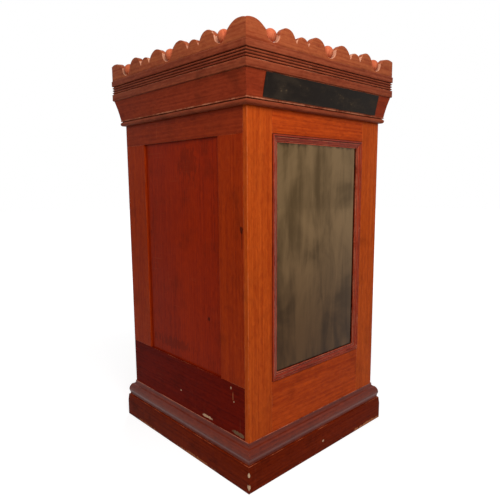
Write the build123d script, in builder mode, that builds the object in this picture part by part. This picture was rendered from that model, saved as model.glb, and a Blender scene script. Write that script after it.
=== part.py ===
from build123d import *
import os

# A counter-top display cabinet for sewing thread, in stained cherry.
# The customer's side carries a framed mirror and a sign board, the two flanks are
# framed panels, and the shopkeeper's side holds a stack of partitioned drawers.
# The origin is the middle of the footprint on the floor, +Z is up, the mirror faces -Y
# and the drawers open towards +Y. All sizes are in millimetres.

# Case
body_width = 452.0
body_depth = 462.5
front_thickness = 12.6
side_thickness = 19.0
frame_lift = 6.0
floor_thickness = 12.0
top_thickness = 12.0
glue_line = 0.1

# Heights of the outside, from the floor up
plinth_height = 59.5
cap_height = 40.0
face_height = 688.5
bead_height = 14.2
frieze_height = 48.6
crown_height = 49.2
crest_height = 38.0

# How far the mouldings stand out from the case
plinth_projection = 18.1
plinth_slope = 1.9
plinth_slope_height = 17.5
cap_fillet = 1.6
cap_fillet_height = 3.0
cap_hollow_reach = 8.6
cap_hollow_height = 6.8
cap_nose_reach = 15.4
cap_nose_drop = 27.0
cap_quirk_depth = 2.4
cap_quirk_height = 4.5
bead_reach = 10.0
bead_foot = 5.0
bead_quirk_depth = 4.0
bead_quirk_height = 1.2
bead_fillet_reach = 9.2
bead_fillet_height = 2.6
frieze_foot_reach = 8.6
frieze_head_reach = 19.6
frieze_hollow = 0.8
crown_fascia_reach = 22.6
crown_fascia_height = 16.2
crown_round = 2.0
reed_count = 3
reed_width = 4.0
reed_gap = 1.8
reed_reach = 21.9
reed_root_reach = 19.4
crown_lip_reach = 23.0
crown_lip_round = 1.4

# Cresting with turned balls
crest_reach = 21.4
crest_thickness = 12.6
ball_radius = 13.3
ball_clearance = 0.2
ball_inset = 50.5
ball_setback = 3.5
ball_pin_radius = 2.0
ball_pin_length = 9.0
ball_pin_clearance = 0.05
cove_foot = 5.0
cove_radius = 19.5
small_scallop_width = 36.6
small_scallop_height = 30.0
small_scallop_shift = 3.0
vee_half = 6.0
vee_foot = 15.0
vee_shoulder = 26.0
corner_height = 36.2
corner_peak_height = 39.2
corner_peak_inset = 16.0

# Customer's side: frame, mirror and sign
front_stile_width = 69.0
mirror_sill = 114.0
mirror_head = 48.5
tenon_length = 45.0
tenon_thickness = 4.2
tenon_shoulder = 8.0
moulding_width = 17.0
moulding_quirk = 1.4
moulding_quirk_depth = 1.6
moulding_bead_width = 4.0
moulding_bead_proud = 2.4
moulding_groove = 1.2
moulding_ogee_proud = 0.9
moulding_ogee_width = 7.0
moulding_lip_depth = 2.6
rebate_width = 6.0
glass_depth = 6.6
glass_thickness = 3.0
backboard_thickness = 3.0
glass_play = 0.4
sign_margin = 33.0
sign_thickness = 1.5
sign_gap = 0.6
pin_radius = 2.0
pin_length = 3.0
pin_recess = 0.4
pin_clearance = 0.05
pin_above_head = 4.2
pin_below_head = 26.0
pin_stile_insets = (5.0, 27.3, 47.7)
pin_far_inset = 45.6

# Flanks: frame and panel
flank_front_stile = 77.4
flank_back_stile = 84.4
flank_bottom_rail = 116.5
flank_top_rail = 52.0
panel_thickness = 8.0
panel_recess = 5.0
groove_depth = 7.0
panel_play = 0.8

# Shopkeeper's side: posts, rails, dividers and runners
post_width = 24.0
post_thickness = 22.0
back_rail_below = 16.5
back_rail_above = 16.0
drawer_count = 7
divider_thickness = 14.0
divider_depth = 60.0
runner_bearing = 12.0

# Drawers
drawer_lift = 0.3
drawer_head_play = 1.2
drawer_side_play = 0.6
drawer_end_gap = 20.0
drawer_front_thickness = 18.0
drawer_front_chamfer = 1.5
drawer_wall = 10.0
drawer_bottom_thickness = 5.0
drawer_side_height = 60.0
partition_count = 2
partition_thickness = 5.0
partition_height = 45.0
knob_base_radius = 9.0
knob_base_height = 2.0
knob_neck_radius = 5.5
knob_neck_height = 6.0
knob_head_radius = 12.0
knob_head_round = 4.5
knob_head_height = 13.0
knob_projection = 20.0
knob_tenon_radius = 4.5
knob_tenon_length = 14.0
knob_clearance = 0.05

# Plinth blocks
block_size = 32.0

# Levels and faces that follow from the sizes above
plinth_top = plinth_height
cap_top = plinth_top + cap_height
face_top = cap_top + face_height
bead_top = face_top + bead_height
frieze_top = bead_top + frieze_height
crown_top = frieze_top + crown_height
crest_top = crown_top + crest_height
frame_top = crown_top - top_thickness
half_width = body_width / 2
half_depth = body_depth / 2
front_back = -half_depth + front_thickness
flank_low = cap_top + flank_bottom_rail
flank_high = face_top - flank_top_rail
mirror_low = cap_top + mirror_sill
mirror_high = face_top - mirror_head
drawers_low = cap_top + back_rail_below
drawers_high = face_top - back_rail_above
opening_height = (drawers_high - drawers_low - (drawer_count - 1) * divider_thickness) / drawer_count
post_inner = half_width - side_thickness - post_width

SIDES = ("front", "back", "left", "right")

os.makedirs("parts", exist_ok=True)


def save(piece, name):
    """Label a finished piece and write it as one STEP file."""
    piece.part.label = name
    export_step(piece.part, f"parts/{name}.step")


def block(corner_a, corner_b, mode=Mode.ADD):
    """Add or cut the box between two opposite corners."""
    middle = (Vector(*corner_a) + Vector(*corner_b)) * 0.5
    size = Vector(*corner_b) - Vector(*corner_a)
    with Locations(middle):
        Box(abs(size.X), abs(size.Y), abs(size.Z), mode=mode)


def wall_plane(side):
    """Plane on one face of the case: X along the wall, Y up, Z outwards."""
    if side == "front":
        return Plane(origin=(0, -half_depth, 0), x_dir=(1, 0, 0), z_dir=(0, -1, 0))
    if side == "back":
        return Plane(origin=(0, half_depth, 0), x_dir=(-1, 0, 0), z_dir=(0, 1, 0))
    if side == "left":
        return Plane(origin=(-half_width, 0, 0), x_dir=(0, -1, 0), z_dir=(-1, 0, 0))
    return Plane(origin=(half_width, 0, 0), x_dir=(0, 1, 0), z_dir=(1, 0, 0))


def wall_half(side):
    """Half the length of one wall of the case."""
    return half_width if side in ("front", "back") else half_depth


def section_plane(side):
    """Plane across one wall at its middle: X outwards from the wall, Y up."""
    wall = wall_plane(side)
    return Plane(origin=wall.origin, x_dir=wall.z_dir, z_dir=-wall.x_dir)


def mitre_plane(side, end):
    """Plane of the mitre at one end of a wall, facing out of the piece, half a glue line back."""
    wall = wall_plane(side)
    corner = wall.origin + wall.x_dir * (end * (wall_half(side) - glue_line / 2))
    return Plane(origin=corner, z_dir=wall.x_dir * end - wall.z_dir)


def mitred_strip(side, draw_section):
    """One length of moulding along a wall, mitred at both ends."""
    with BuildPart() as strip:
        with BuildSketch(section_plane(side)):
            with BuildLine():
                draw_section()
            make_face()
        extrude(amount=wall_half(side) * 2, both=True)
        for end in (-1, 1):
            split(bisect_by=mitre_plane(side, end), keep=Keep.BOTTOM)
    return strip.part


def ring_of_strips(draw_section):
    """The four mitred lengths that run round the case."""
    return [mitred_strip(side, draw_section) for side in SIDES]


# Plinth and its cap

def plinth_section():
    """Plinth board: upright face with a slightly sloped top band."""
    slope_foot = plinth_top - plinth_slope_height
    Polyline(
        (0, 0),
        (plinth_projection, 0),
        (plinth_projection, slope_foot),
        (plinth_projection - plinth_slope, plinth_top),
        (0, plinth_top),
        close=True,
    )


def cap_section():
    """Base cap: fillet, hollow, rounded nose and a quirk above the plinth."""
    hollow_top = cap_top - cap_fillet_height
    hollow_low = hollow_top - cap_hollow_height
    nose_low = cap_top - cap_nose_drop
    quirk_reach = cap_nose_reach - cap_quirk_depth
    quirk_top = plinth_top + cap_quirk_height
    Polyline((quirk_reach, plinth_top), (0, plinth_top), (0, cap_top), (cap_fillet, cap_top), (cap_fillet, hollow_top))
    TangentArc((cap_fillet, hollow_top), (cap_hollow_reach, hollow_low), tangent=(0, -1))
    nose = TangentArc((cap_nose_reach, nose_low), (cap_hollow_reach, hollow_low), tangent=(0, 1))
    Polyline(nose @ 0, (quirk_reach, quirk_top), (quirk_reach, plinth_top))


plinth_strips = ring_of_strips(plinth_section)
with BuildPart() as plinth_boards:
    for strip in plinth_strips:
        add(strip)
save(plinth_boards, "plinth_boards")

cap_strips = ring_of_strips(cap_section)
with BuildPart() as base_cap:
    for strip in cap_strips:
        add(strip)
save(base_cap, "base_cap")


# Bead, frieze and crown

def bead_section():
    """Round bead under a quirk and a fillet."""
    quirk_reach = bead_reach - bead_quirk_depth
    fillet_low = bead_top - bead_fillet_height
    bead_high = fillet_low - bead_quirk_height
    Polyline((bead_foot, face_top), (0, face_top), (0, bead_top), (bead_fillet_reach, bead_top))
    Polyline((bead_fillet_reach, bead_top), (bead_fillet_reach, fillet_low), (quirk_reach, fillet_low))
    Line((quirk_reach, fillet_low), (quirk_reach, bead_high))
    bead_middle = (face_top + bead_high) / 2
    ThreePointArc((quirk_reach, bead_high), (bead_reach, bead_middle), (bead_foot, face_top))


def frieze_face(reach):
    """Slightly hollow, outward leaning face of the frieze, moved out by reach."""
    middle_reach = (frieze_foot_reach + frieze_head_reach) / 2 - frieze_hollow
    middle_height = (bead_top + frieze_top) / 2
    ThreePointArc(
        (frieze_foot_reach + reach, bead_top),
        (middle_reach + reach, middle_height),
        (frieze_head_reach + reach, frieze_top),
    )


def frieze_section():
    """Frieze board, flat on the case and leaning outwards at its face."""
    frieze_face(0)
    Polyline((frieze_head_reach, frieze_top), (0, frieze_top), (0, bead_top), (frieze_foot_reach, bead_top))


def crown_section():
    """Crown: plain fascia, a band of reeds and a rounded lip."""
    fascia_top = frieze_top + crown_fascia_height
    Polyline((0, crown_top), (0, frieze_top), (crown_fascia_reach - crown_round, frieze_top))
    TangentArc(
        (crown_fascia_reach - crown_round, frieze_top),
        (crown_fascia_reach, frieze_top + crown_round),
        tangent=(1, 0),
    )
    Line((crown_fascia_reach, frieze_top + crown_round), (crown_fascia_reach, fascia_top))
    Line((crown_fascia_reach, fascia_top), (reed_root_reach, fascia_top))
    height = fascia_top
    for _ in range(reed_count):
        low = height + reed_gap
        high = low + reed_width
        Line((reed_root_reach, height), (reed_root_reach, low))
        ThreePointArc((reed_root_reach, low), (reed_reach, (low + high) / 2), (reed_root_reach, high))
        height = high
    lip_low = height + reed_gap
    lip_flank = crown_lip_reach - crown_lip_round
    Polyline((reed_root_reach, height), (reed_root_reach, lip_low), (lip_flank, lip_low))
    TangentArc((lip_flank, lip_low), (crown_lip_reach, lip_low + crown_lip_round), tangent=(1, 0))
    Line((crown_lip_reach, lip_low + crown_lip_round), (crown_lip_reach, crown_top - crown_lip_round))
    TangentArc((crown_lip_reach, crown_top - crown_lip_round), (lip_flank, crown_top), tangent=(0, 1))
    Line((lip_flank, crown_top), (0, crown_top))


bead_strips = ring_of_strips(bead_section)
with BuildPart() as bead_moulding:
    for strip in bead_strips:
        add(strip)
save(bead_moulding, "bead_moulding")

frieze_strips = ring_of_strips(frieze_section)
with BuildPart() as frieze_boards:
    for strip in frieze_strips:
        add(strip)
save(frieze_boards, "frieze_boards")


def ball_spots(side):
    """Places of the balls along a wall, measured from its middle."""
    bay = wall_half(side) - ball_inset
    return (-bay, 0, bay)


ball_height = crown_top + cove_foot + ball_clearance + ball_radius
ball_reach = crest_reach - crest_thickness / 2 - ball_setback
pin_low = crown_top + cove_foot - ball_pin_length
ball_places = [
    wall_plane(side).from_local_coords(Vector(spot, 0, ball_reach))
    for side in SIDES
    for spot in ball_spots(side)
]

crown_strips = ring_of_strips(crown_section)
with BuildPart() as crown_moulding:
    for strip in crown_strips:
        add(strip)
    with BuildSketch(Plane.XY.offset(pin_low)):
        with Locations(*ball_places):
            Circle(ball_pin_radius + ball_pin_clearance)
    extrude(amount=crown_top - pin_low, mode=Mode.SUBTRACT)
save(crown_moulding, "crown_moulding")

with BuildPart() as sign_board:
    with BuildSketch(section_plane("front")):
        with BuildLine():
            frieze_face(glue_line)
            frieze_face(glue_line + sign_thickness)
            Line((frieze_foot_reach + glue_line, bead_top), (frieze_foot_reach + glue_line + sign_thickness, bead_top))
            Line((frieze_head_reach + glue_line, frieze_top), (frieze_head_reach + glue_line + sign_thickness, frieze_top))
        make_face()
    extrude(amount=half_width - sign_margin, both=True)
    split(bisect_by=Plane.XY.offset(bead_top + sign_gap), keep=Keep.TOP)
    split(bisect_by=Plane.XY.offset(frieze_top - sign_gap), keep=Keep.BOTTOM)
save(sign_board, "sign_board")


# Cresting: four mitred boards with scallops, vee cuts and a ball in every cove

def crest_outline(side):
    """Half of a cresting board's outline, mirrored about the middle of the wall."""
    bay = wall_half(side) - ball_inset
    corner = wall_half(side) + crest_reach
    foot = crown_top + cove_foot
    shoulder = foot + cove_radius
    vee_middle = bay / 2 + small_scallop_shift
    near_vee = vee_middle - small_scallop_width / 2
    far_vee = vee_middle + small_scallop_width / 2
    cut_foot = crown_top + vee_foot
    cut_shoulder = crown_top + vee_shoulder
    near_middle = (cove_radius + near_vee - vee_half) / 2
    far_middle = (far_vee + vee_half + bay - cove_radius) / 2
    TangentArc((0, foot), (cove_radius, shoulder), tangent=(1, 0))
    ThreePointArc((cove_radius, shoulder), (near_middle, crest_top), (near_vee - vee_half, cut_shoulder))
    Polyline((near_vee - vee_half, cut_shoulder), (near_vee, cut_foot), (near_vee + vee_half, cut_shoulder))
    ThreePointArc(
        (near_vee + vee_half, cut_shoulder),
        (vee_middle, crown_top + small_scallop_height),
        (far_vee - vee_half, cut_shoulder),
    )
    Polyline((far_vee - vee_half, cut_shoulder), (far_vee, cut_foot), (far_vee + vee_half, cut_shoulder))
    ThreePointArc((far_vee + vee_half, cut_shoulder), (far_middle, crest_top), (bay - cove_radius, shoulder))
    TangentArc((bay, foot), (bay - cove_radius, shoulder), tangent=(-1, 0))
    TangentArc((bay, foot), (bay + cove_radius, shoulder), tangent=(1, 0))
    ThreePointArc(
        (bay + cove_radius, shoulder),
        (corner - corner_peak_inset, crown_top + corner_peak_height),
        (corner, crown_top + corner_height),
    )
    Polyline((corner, crown_top + corner_height), (corner, crown_top), (0, crown_top))
    mirror(about=Plane.YZ)


for side in SIDES:
    with BuildPart() as cresting:
        with BuildSketch(wall_plane(side).offset(crest_reach)):
            with BuildLine():
                crest_outline(side)
            make_face()
        extrude(amount=-crest_thickness)
        for end in (-1, 1):
            split(bisect_by=mitre_plane(side, end), keep=Keep.BOTTOM)
        with BuildSketch(Plane.XY.offset(crown_top)):
            with Locations(*ball_places):
                Circle(ball_pin_radius + ball_pin_clearance)
        extrude(amount=crest_height, mode=Mode.SUBTRACT)
    save(cresting, f"cresting_{side}")

with BuildPart() as cresting_balls:
    with Locations(*[(place.X, place.Y, ball_height) for place in ball_places]):
        Sphere(ball_radius)
    with BuildSketch(Plane.XY.offset(pin_low)):
        with Locations(*ball_places):
            Circle(ball_pin_radius)
    extrude(amount=ball_height - pin_low)
save(cresting_balls, "cresting_balls")


# Customer's side: two stiles, two rails, the mirror and its moulding

def front_tenons(low, high, mode):
    """Tenons of a front rail, from the stile's inner edge into each stile."""
    tenon_face = -half_depth + (front_thickness - tenon_thickness) / 2
    shoulder_x = half_width - front_stile_width
    for side_sign in (-1, 1):
        block(
            (side_sign * shoulder_x, tenon_face, low + tenon_shoulder),
            (side_sign * (shoulder_x + tenon_length), tenon_face + tenon_thickness, high - tenon_shoulder),
            mode=mode,
        )


front_rail_spans = {"bottom": (frame_lift, mirror_low), "top": (mirror_high, frame_top)}
stile_inner = half_width - front_stile_width
pin_spots = [(-stile_inner - inset, mirror_high + pin_above_head) for inset in pin_stile_insets]
pin_spots.append((-stile_inner - pin_stile_insets[0], mirror_high - pin_below_head))
pin_spots.append((stile_inner + pin_far_inset, mirror_high + pin_above_head))

for name, side_sign in (("left", -1), ("right", 1)):
    with BuildPart() as front_stile:
        block(
            (side_sign * half_width, -half_depth, frame_lift),
            (side_sign * (half_width - front_stile_width), front_back, frame_top),
        )
        for low, high in front_rail_spans.values():
            front_tenons(low, high, Mode.SUBTRACT)
        with BuildSketch(wall_plane("front")):
            with Locations(*pin_spots):
                Circle(pin_radius + pin_clearance)
        extrude(amount=-(pin_recess + pin_length), mode=Mode.SUBTRACT)
    save(front_stile, f"front_stile_{name}")

for name, (low, high) in front_rail_spans.items():
    with BuildPart() as front_rail:
        block(
            (-half_width + front_stile_width, -half_depth, low),
            (half_width - front_stile_width, front_back, high),
        )
        front_tenons(low, high, Mode.ADD)
    save(front_rail, f"front_rail_{name}")

with BuildPart() as frame_pins:
    with BuildSketch(wall_plane("front").offset(-pin_recess)):
        with Locations(*pin_spots):
            Circle(pin_radius)
    extrude(amount=-pin_length)
save(frame_pins, "frame_pins")

opening_half_width = half_width - front_stile_width
opening_half_height = (mirror_high - mirror_low) / 2
opening_middle = Vector(0, -half_depth, (mirror_low + mirror_high) / 2)
EDGES = (
    (Vector(1, 0, 0), Vector(0, 0, 1), opening_half_width, opening_half_height),
    (Vector(1, 0, 0), Vector(0, 0, -1), opening_half_width, opening_half_height),
    (Vector(0, 0, 1), Vector(1, 0, 0), opening_half_height, opening_half_width),
    (Vector(0, 0, 1), Vector(-1, 0, 0), opening_half_height, opening_half_width),
)


def moulding_section():
    """Mirror moulding: X inwards from the edge of the opening, Y out of the frame's face."""
    bead_start = moulding_quirk
    bead_end = bead_start + moulding_bead_width
    ogee_start = bead_end + moulding_groove
    ogee_end = ogee_start + moulding_ogee_width
    rebate_start = moulding_width - rebate_width
    Polyline(
        (rebate_start, -front_thickness),
        (0, -front_thickness),
        (0, -moulding_quirk_depth),
        (bead_start, -moulding_quirk_depth),
        (bead_start, 0),
    )
    ThreePointArc((bead_start, 0), ((bead_start + bead_end) / 2, moulding_bead_proud), (bead_end, 0))
    Polyline((bead_end, 0), (bead_end, -moulding_quirk_depth), (ogee_start, -moulding_quirk_depth))
    Line((ogee_start, -moulding_quirk_depth), (ogee_start, moulding_ogee_proud))
    Spline(
        (ogee_start, moulding_ogee_proud),
        (ogee_end, -moulding_lip_depth + moulding_groove),
        tangents=((1, 0), (1, 0)),
    )
    Polyline(
        (ogee_end, -moulding_lip_depth + moulding_groove),
        (ogee_end, -moulding_lip_depth),
        (moulding_width, -moulding_lip_depth),
        (moulding_width, -glass_depth),
        (rebate_start, -glass_depth),
        (rebate_start, -front_thickness),
    )


def moulding_strip(along, inwards, half_length, distance):
    """One side of the mirror moulding, mitred at both ends."""
    edge_middle = opening_middle - inwards * distance
    outwards = Vector(0, -1, 0)
    with BuildPart() as strip:
        with BuildSketch(Plane(origin=edge_middle, x_dir=inwards, z_dir=inwards.cross(outwards))):
            with BuildLine():
                moulding_section()
            make_face()
        extrude(amount=half_length * 2, both=True)
        for end in (-1, 1):
            corner = edge_middle + along * (end * (half_length - glue_line / 2))
            split(bisect_by=Plane(origin=corner, z_dir=along * end + inwards), keep=Keep.BOTTOM)
    return strip.part


moulding_strips = [moulding_strip(*edge) for edge in EDGES]
with BuildPart() as mirror_moulding:
    for strip in moulding_strips:
        add(strip)
save(mirror_moulding, "mirror_moulding")

sight_inset = moulding_width - rebate_width + glass_play
sheet_half_width = opening_half_width - sight_inset
sheet_half_height = opening_half_height - sight_inset
with BuildPart() as mirror_glass:
    with BuildSketch(wall_plane("front").offset(-glass_depth)):
        with Locations((0, opening_middle.Z)):
            Rectangle(2 * sheet_half_width, 2 * sheet_half_height)
    extrude(amount=-glass_thickness)
save(mirror_glass, "mirror_glass")

with BuildPart() as mirror_backboard:
    with BuildSketch(wall_plane("front").offset(-glass_depth - glass_thickness)):
        with Locations((0, opening_middle.Z)):
            Rectangle(2 * sheet_half_width, 2 * sheet_half_height)
    extrude(amount=-backboard_thickness)
save(mirror_backboard, "mirror_backboard")


# Flanks: framed panels between the front frame and the back

front_stile_edge = front_back + flank_front_stile
back_stile_edge = half_depth - flank_back_stile
tongue = groove_depth - panel_play

for name, side_sign in (("left", -1), ("right", 1)):
    outer = side_sign * half_width
    inner = side_sign * (half_width - side_thickness)
    panel_outer = side_sign * (half_width - panel_recess)
    panel_inner = side_sign * (half_width - panel_recess - panel_thickness)

    with BuildPart() as rail_bottom:
        block((outer, front_back, frame_lift), (inner, half_depth, flank_low))
        block(
            (panel_outer, front_back, flank_low - groove_depth),
            (panel_inner, half_depth, flank_low),
            mode=Mode.SUBTRACT,
        )
    save(rail_bottom, f"{name}_rail_bottom")

    with BuildPart() as rail_top:
        block((outer, front_back, flank_high), (inner, half_depth, frame_top))
        block(
            (panel_outer, front_back, flank_high),
            (panel_inner, half_depth, flank_high + groove_depth),
            mode=Mode.SUBTRACT,
        )
    save(rail_top, f"{name}_rail_top")

    for place, edge, far in (("front", front_stile_edge, front_back), ("back", back_stile_edge, half_depth)):
        into_stile = groove_depth if edge < far else -groove_depth
        with BuildPart() as flank_stile:
            block((outer, edge, flank_low), (inner, far, flank_high))
            block(
                (panel_outer, edge, flank_low),
                (panel_inner, edge + into_stile, flank_high),
                mode=Mode.SUBTRACT,
            )
            block(
                (panel_outer, edge + into_stile, flank_low - groove_depth),
                (panel_inner, far, flank_high + groove_depth),
            )
        save(flank_stile, f"{name}_stile_{place}")

    with BuildPart() as flank_panel:
        block(
            (panel_outer, front_stile_edge - tongue, flank_low - tongue),
            (panel_inner, back_stile_edge + tongue, flank_high + tongue),
        )
    save(flank_panel, f"{name}_panel")


# Inside of the case

case_inner = half_width - side_thickness
post_front = half_depth - post_thickness

with BuildPart() as case_floor:
    block((-case_inner, front_back, cap_top - floor_thickness), (case_inner, post_front, cap_top))
save(case_floor, "case_floor")

with BuildPart() as case_top:
    block((-half_width, -half_depth, frame_top), (half_width, half_depth, crown_top))
save(case_top, "case_top")

with BuildPart() as plinth_blocks:
    for x_sign in (-1, 1):
        for corner_y, into_case in ((front_back, 1), (post_front, -1)):
            block(
                (x_sign * case_inner, corner_y, frame_lift),
                (x_sign * (case_inner - block_size), corner_y + into_case * block_size, cap_top - floor_thickness),
            )
save(plinth_blocks, "plinth_blocks")

with BuildPart() as back_posts:
    for x_sign in (-1, 1):
        block((x_sign * case_inner, post_front, frame_lift), (x_sign * post_inner, half_depth, frame_top))
save(back_posts, "back_posts")

with BuildPart() as back_rails:
    block((-post_inner, post_front, frame_lift), (post_inner, half_depth, drawers_low))
    block((-post_inner, post_front, drawers_high), (post_inner, half_depth, frame_top))
save(back_rails, "back_rails")

opening_pitch = opening_height + divider_thickness
with BuildPart() as drawer_dividers:
    for level in range(1, drawer_count):
        divider_top = drawers_low + level * opening_pitch
        block(
            (-post_inner, half_depth - divider_depth, divider_top - divider_thickness),
            (post_inner, half_depth, divider_top),
        )
save(drawer_dividers, "drawer_dividers")

runner_inner = post_inner - drawer_side_play - runner_bearing
with BuildPart() as drawer_runners:
    for level in range(drawer_count):
        runner_top = drawers_low + level * opening_pitch
        runner_end = half_depth - (divider_depth if level else post_thickness)
        for x_sign in (-1, 1):
            block(
                (x_sign * case_inner, front_back, runner_top - divider_thickness),
                (x_sign * runner_inner, runner_end, runner_top),
            )
            if level:
                block(
                    (x_sign * case_inner, runner_end, runner_top - divider_thickness),
                    (x_sign * post_inner, post_front, runner_top),
                )
save(drawer_runners, "drawer_runners")


# Drawers, counted from the top

drawer_half_width = post_inner - drawer_side_play
front_inner = half_depth - drawer_front_thickness
drawer_end = front_back + drawer_end_gap
lane_width = (2 * (drawer_half_width - drawer_wall) - partition_count * partition_thickness) / (partition_count + 1)

for number in range(1, drawer_count + 1):
    drawer_low = drawers_low + (drawer_count - number) * opening_pitch + drawer_lift
    drawer_front_top = drawer_low + opening_height - drawer_lift - drawer_head_play
    knob_height = (drawer_low + drawer_front_top) / 2
    knob_plane = Plane(origin=(0, half_depth, knob_height), x_dir=(1, 0, 0), z_dir=(0, 0, 1))
    walls_low = drawer_low + drawer_bottom_thickness + glue_line
    walls_high = drawer_low + drawer_side_height

    with BuildPart() as drawer_front:
        block(
            (-drawer_half_width, front_inner, drawer_low),
            (drawer_half_width, half_depth, drawer_front_top),
        )
        chamfer(drawer_front.faces().sort_by(Axis.Y)[-1].edges(), length=drawer_front_chamfer)
        with BuildSketch(Plane(origin=knob_plane.origin, x_dir=(-1, 0, 0), z_dir=(0, 1, 0))):
            Circle(knob_tenon_radius + knob_clearance)
        extrude(amount=-knob_tenon_length - knob_clearance, mode=Mode.SUBTRACT)
    save(drawer_front, f"drawer_{number}_front")

    with BuildPart() as drawer_box:
        block(
            (-drawer_half_width, drawer_end, drawer_low),
            (drawer_half_width, front_inner, drawer_low + drawer_bottom_thickness),
        )
        for x_sign in (-1, 1):
            block(
                (x_sign * drawer_half_width, drawer_end, walls_low),
                (x_sign * (drawer_half_width - drawer_wall), front_inner, walls_high),
            )
        end_half = drawer_half_width - drawer_wall - glue_line
        block((-end_half, drawer_end, walls_low), (end_half, drawer_end + drawer_wall, walls_high))
        for place in range(1, partition_count + 1):
            partition_left = -drawer_half_width + drawer_wall + place * lane_width + (place - 1) * partition_thickness
            block(
                (partition_left, drawer_end + drawer_wall + glue_line, walls_low),
                (partition_left + partition_thickness, front_inner, walls_low + partition_height),
            )
    save(drawer_box, f"drawer_{number}_box")

    with BuildPart() as drawer_knob:
        with BuildSketch(knob_plane):
            with BuildLine():
                Polyline(
                    (0, knob_projection),
                    (0, -knob_tenon_length),
                    (knob_tenon_radius, -knob_tenon_length),
                    (knob_tenon_radius, 0),
                    (knob_base_radius, 0),
                    (knob_base_radius, knob_base_height),
                    (knob_neck_radius, knob_neck_height),
                    (knob_head_radius - knob_head_round, knob_head_height - knob_head_round),
                )
                TangentArc(
                    (knob_head_radius, knob_head_height),
                    (knob_head_radius - knob_head_round, knob_head_height - knob_head_round),
                    tangent=(0, -1),
                )
                TangentArc((0, knob_projection), (knob_head_radius, knob_head_height), tangent=(1, 0))
            make_face()
        revolve(axis=Axis(knob_plane.origin, (0, 1, 0)))
    save(drawer_knob, f"drawer_{number}_knob")
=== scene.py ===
import logging
import math
from dataclasses import dataclass, field, replace
from enum import Enum
from typing import Iterable, Sequence

import bpy
import numpy as np
from mathutils import Matrix, Vector


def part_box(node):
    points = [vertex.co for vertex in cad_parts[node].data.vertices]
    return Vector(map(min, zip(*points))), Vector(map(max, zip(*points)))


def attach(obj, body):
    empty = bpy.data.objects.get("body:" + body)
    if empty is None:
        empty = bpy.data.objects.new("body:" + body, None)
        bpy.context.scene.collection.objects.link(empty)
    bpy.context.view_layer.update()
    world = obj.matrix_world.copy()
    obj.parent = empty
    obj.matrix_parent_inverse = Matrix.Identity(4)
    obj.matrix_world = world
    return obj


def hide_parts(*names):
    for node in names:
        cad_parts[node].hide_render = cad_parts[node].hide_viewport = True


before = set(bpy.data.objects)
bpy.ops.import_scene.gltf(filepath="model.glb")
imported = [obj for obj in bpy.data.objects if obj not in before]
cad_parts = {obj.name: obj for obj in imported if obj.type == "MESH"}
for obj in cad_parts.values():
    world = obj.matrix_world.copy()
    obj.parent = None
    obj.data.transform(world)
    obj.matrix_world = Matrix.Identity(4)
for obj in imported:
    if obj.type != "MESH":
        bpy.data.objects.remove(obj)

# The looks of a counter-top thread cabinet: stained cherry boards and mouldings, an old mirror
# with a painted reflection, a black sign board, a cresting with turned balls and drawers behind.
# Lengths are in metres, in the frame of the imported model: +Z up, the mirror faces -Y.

log = logging.getLogger("cabinet")
MM = 0.001
CASE = "case"
SHARP_ANGLE = math.radians(38)
WEAR_REACH = 1.2 * MM
DRAWERS = 7

Pair = tuple[float, float]
Colour = tuple[float, float, float, float]


# Sizes read from the frame

def corners(node: str) -> tuple[np.ndarray, np.ndarray]:
    """Lowest and highest corner of a CAD node.

    Args:
        node: The node's name.

    Returns:
        Two arrays of three numbers, in metres.
    """
    low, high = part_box(node)
    return np.array(low), np.array(high)


def srgb(red: float, green: float, blue: float) -> Colour:
    """Linear colour of a display colour given from 0 to 255.

    Args:
        red: Red part.
        green: Green part.
        blue: Blue part.

    Returns:
        The linear colour with full alpha.
    """
    parts = []
    for value in (red, green, blue):
        part = value / 255
        parts.append(part / 12.92 if part <= 0.04045 else ((part + 0.055) / 1.055) ** 2.4)
    return (parts[0], parts[1], parts[2], 1.0)


# Meshes from numpy grids

def wobble(points: np.ndarray, wavelength: float, seed: int) -> np.ndarray:
    """Smooth pseudo-random field from -1 to 1.

    The field is the mean of seven sine waves. Each wave runs in its own random direction
    with a wavelength between two thirds and one and a half times the one that is given.

    Args:
        points: Array of places, with three numbers in the last axis.
        wavelength: Typical distance between two bumps.
        seed: Picks the directions and phases.

    Returns:
        One number for each place.
    """
    rng = np.random.default_rng(seed)
    total = np.zeros(points.shape[:-1])
    waves, gain = 7, 1.6
    shortest, longest = 0.66, 1.5
    for _ in range(waves):
        direction = rng.normal(size=3)
        direction /= np.linalg.norm(direction)
        length = wavelength * rng.uniform(shortest, longest)
        total += np.sin(points @ direction * (2 * math.pi / length) + rng.uniform(0, 2 * math.pi))
    return total / waves * gain


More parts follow.
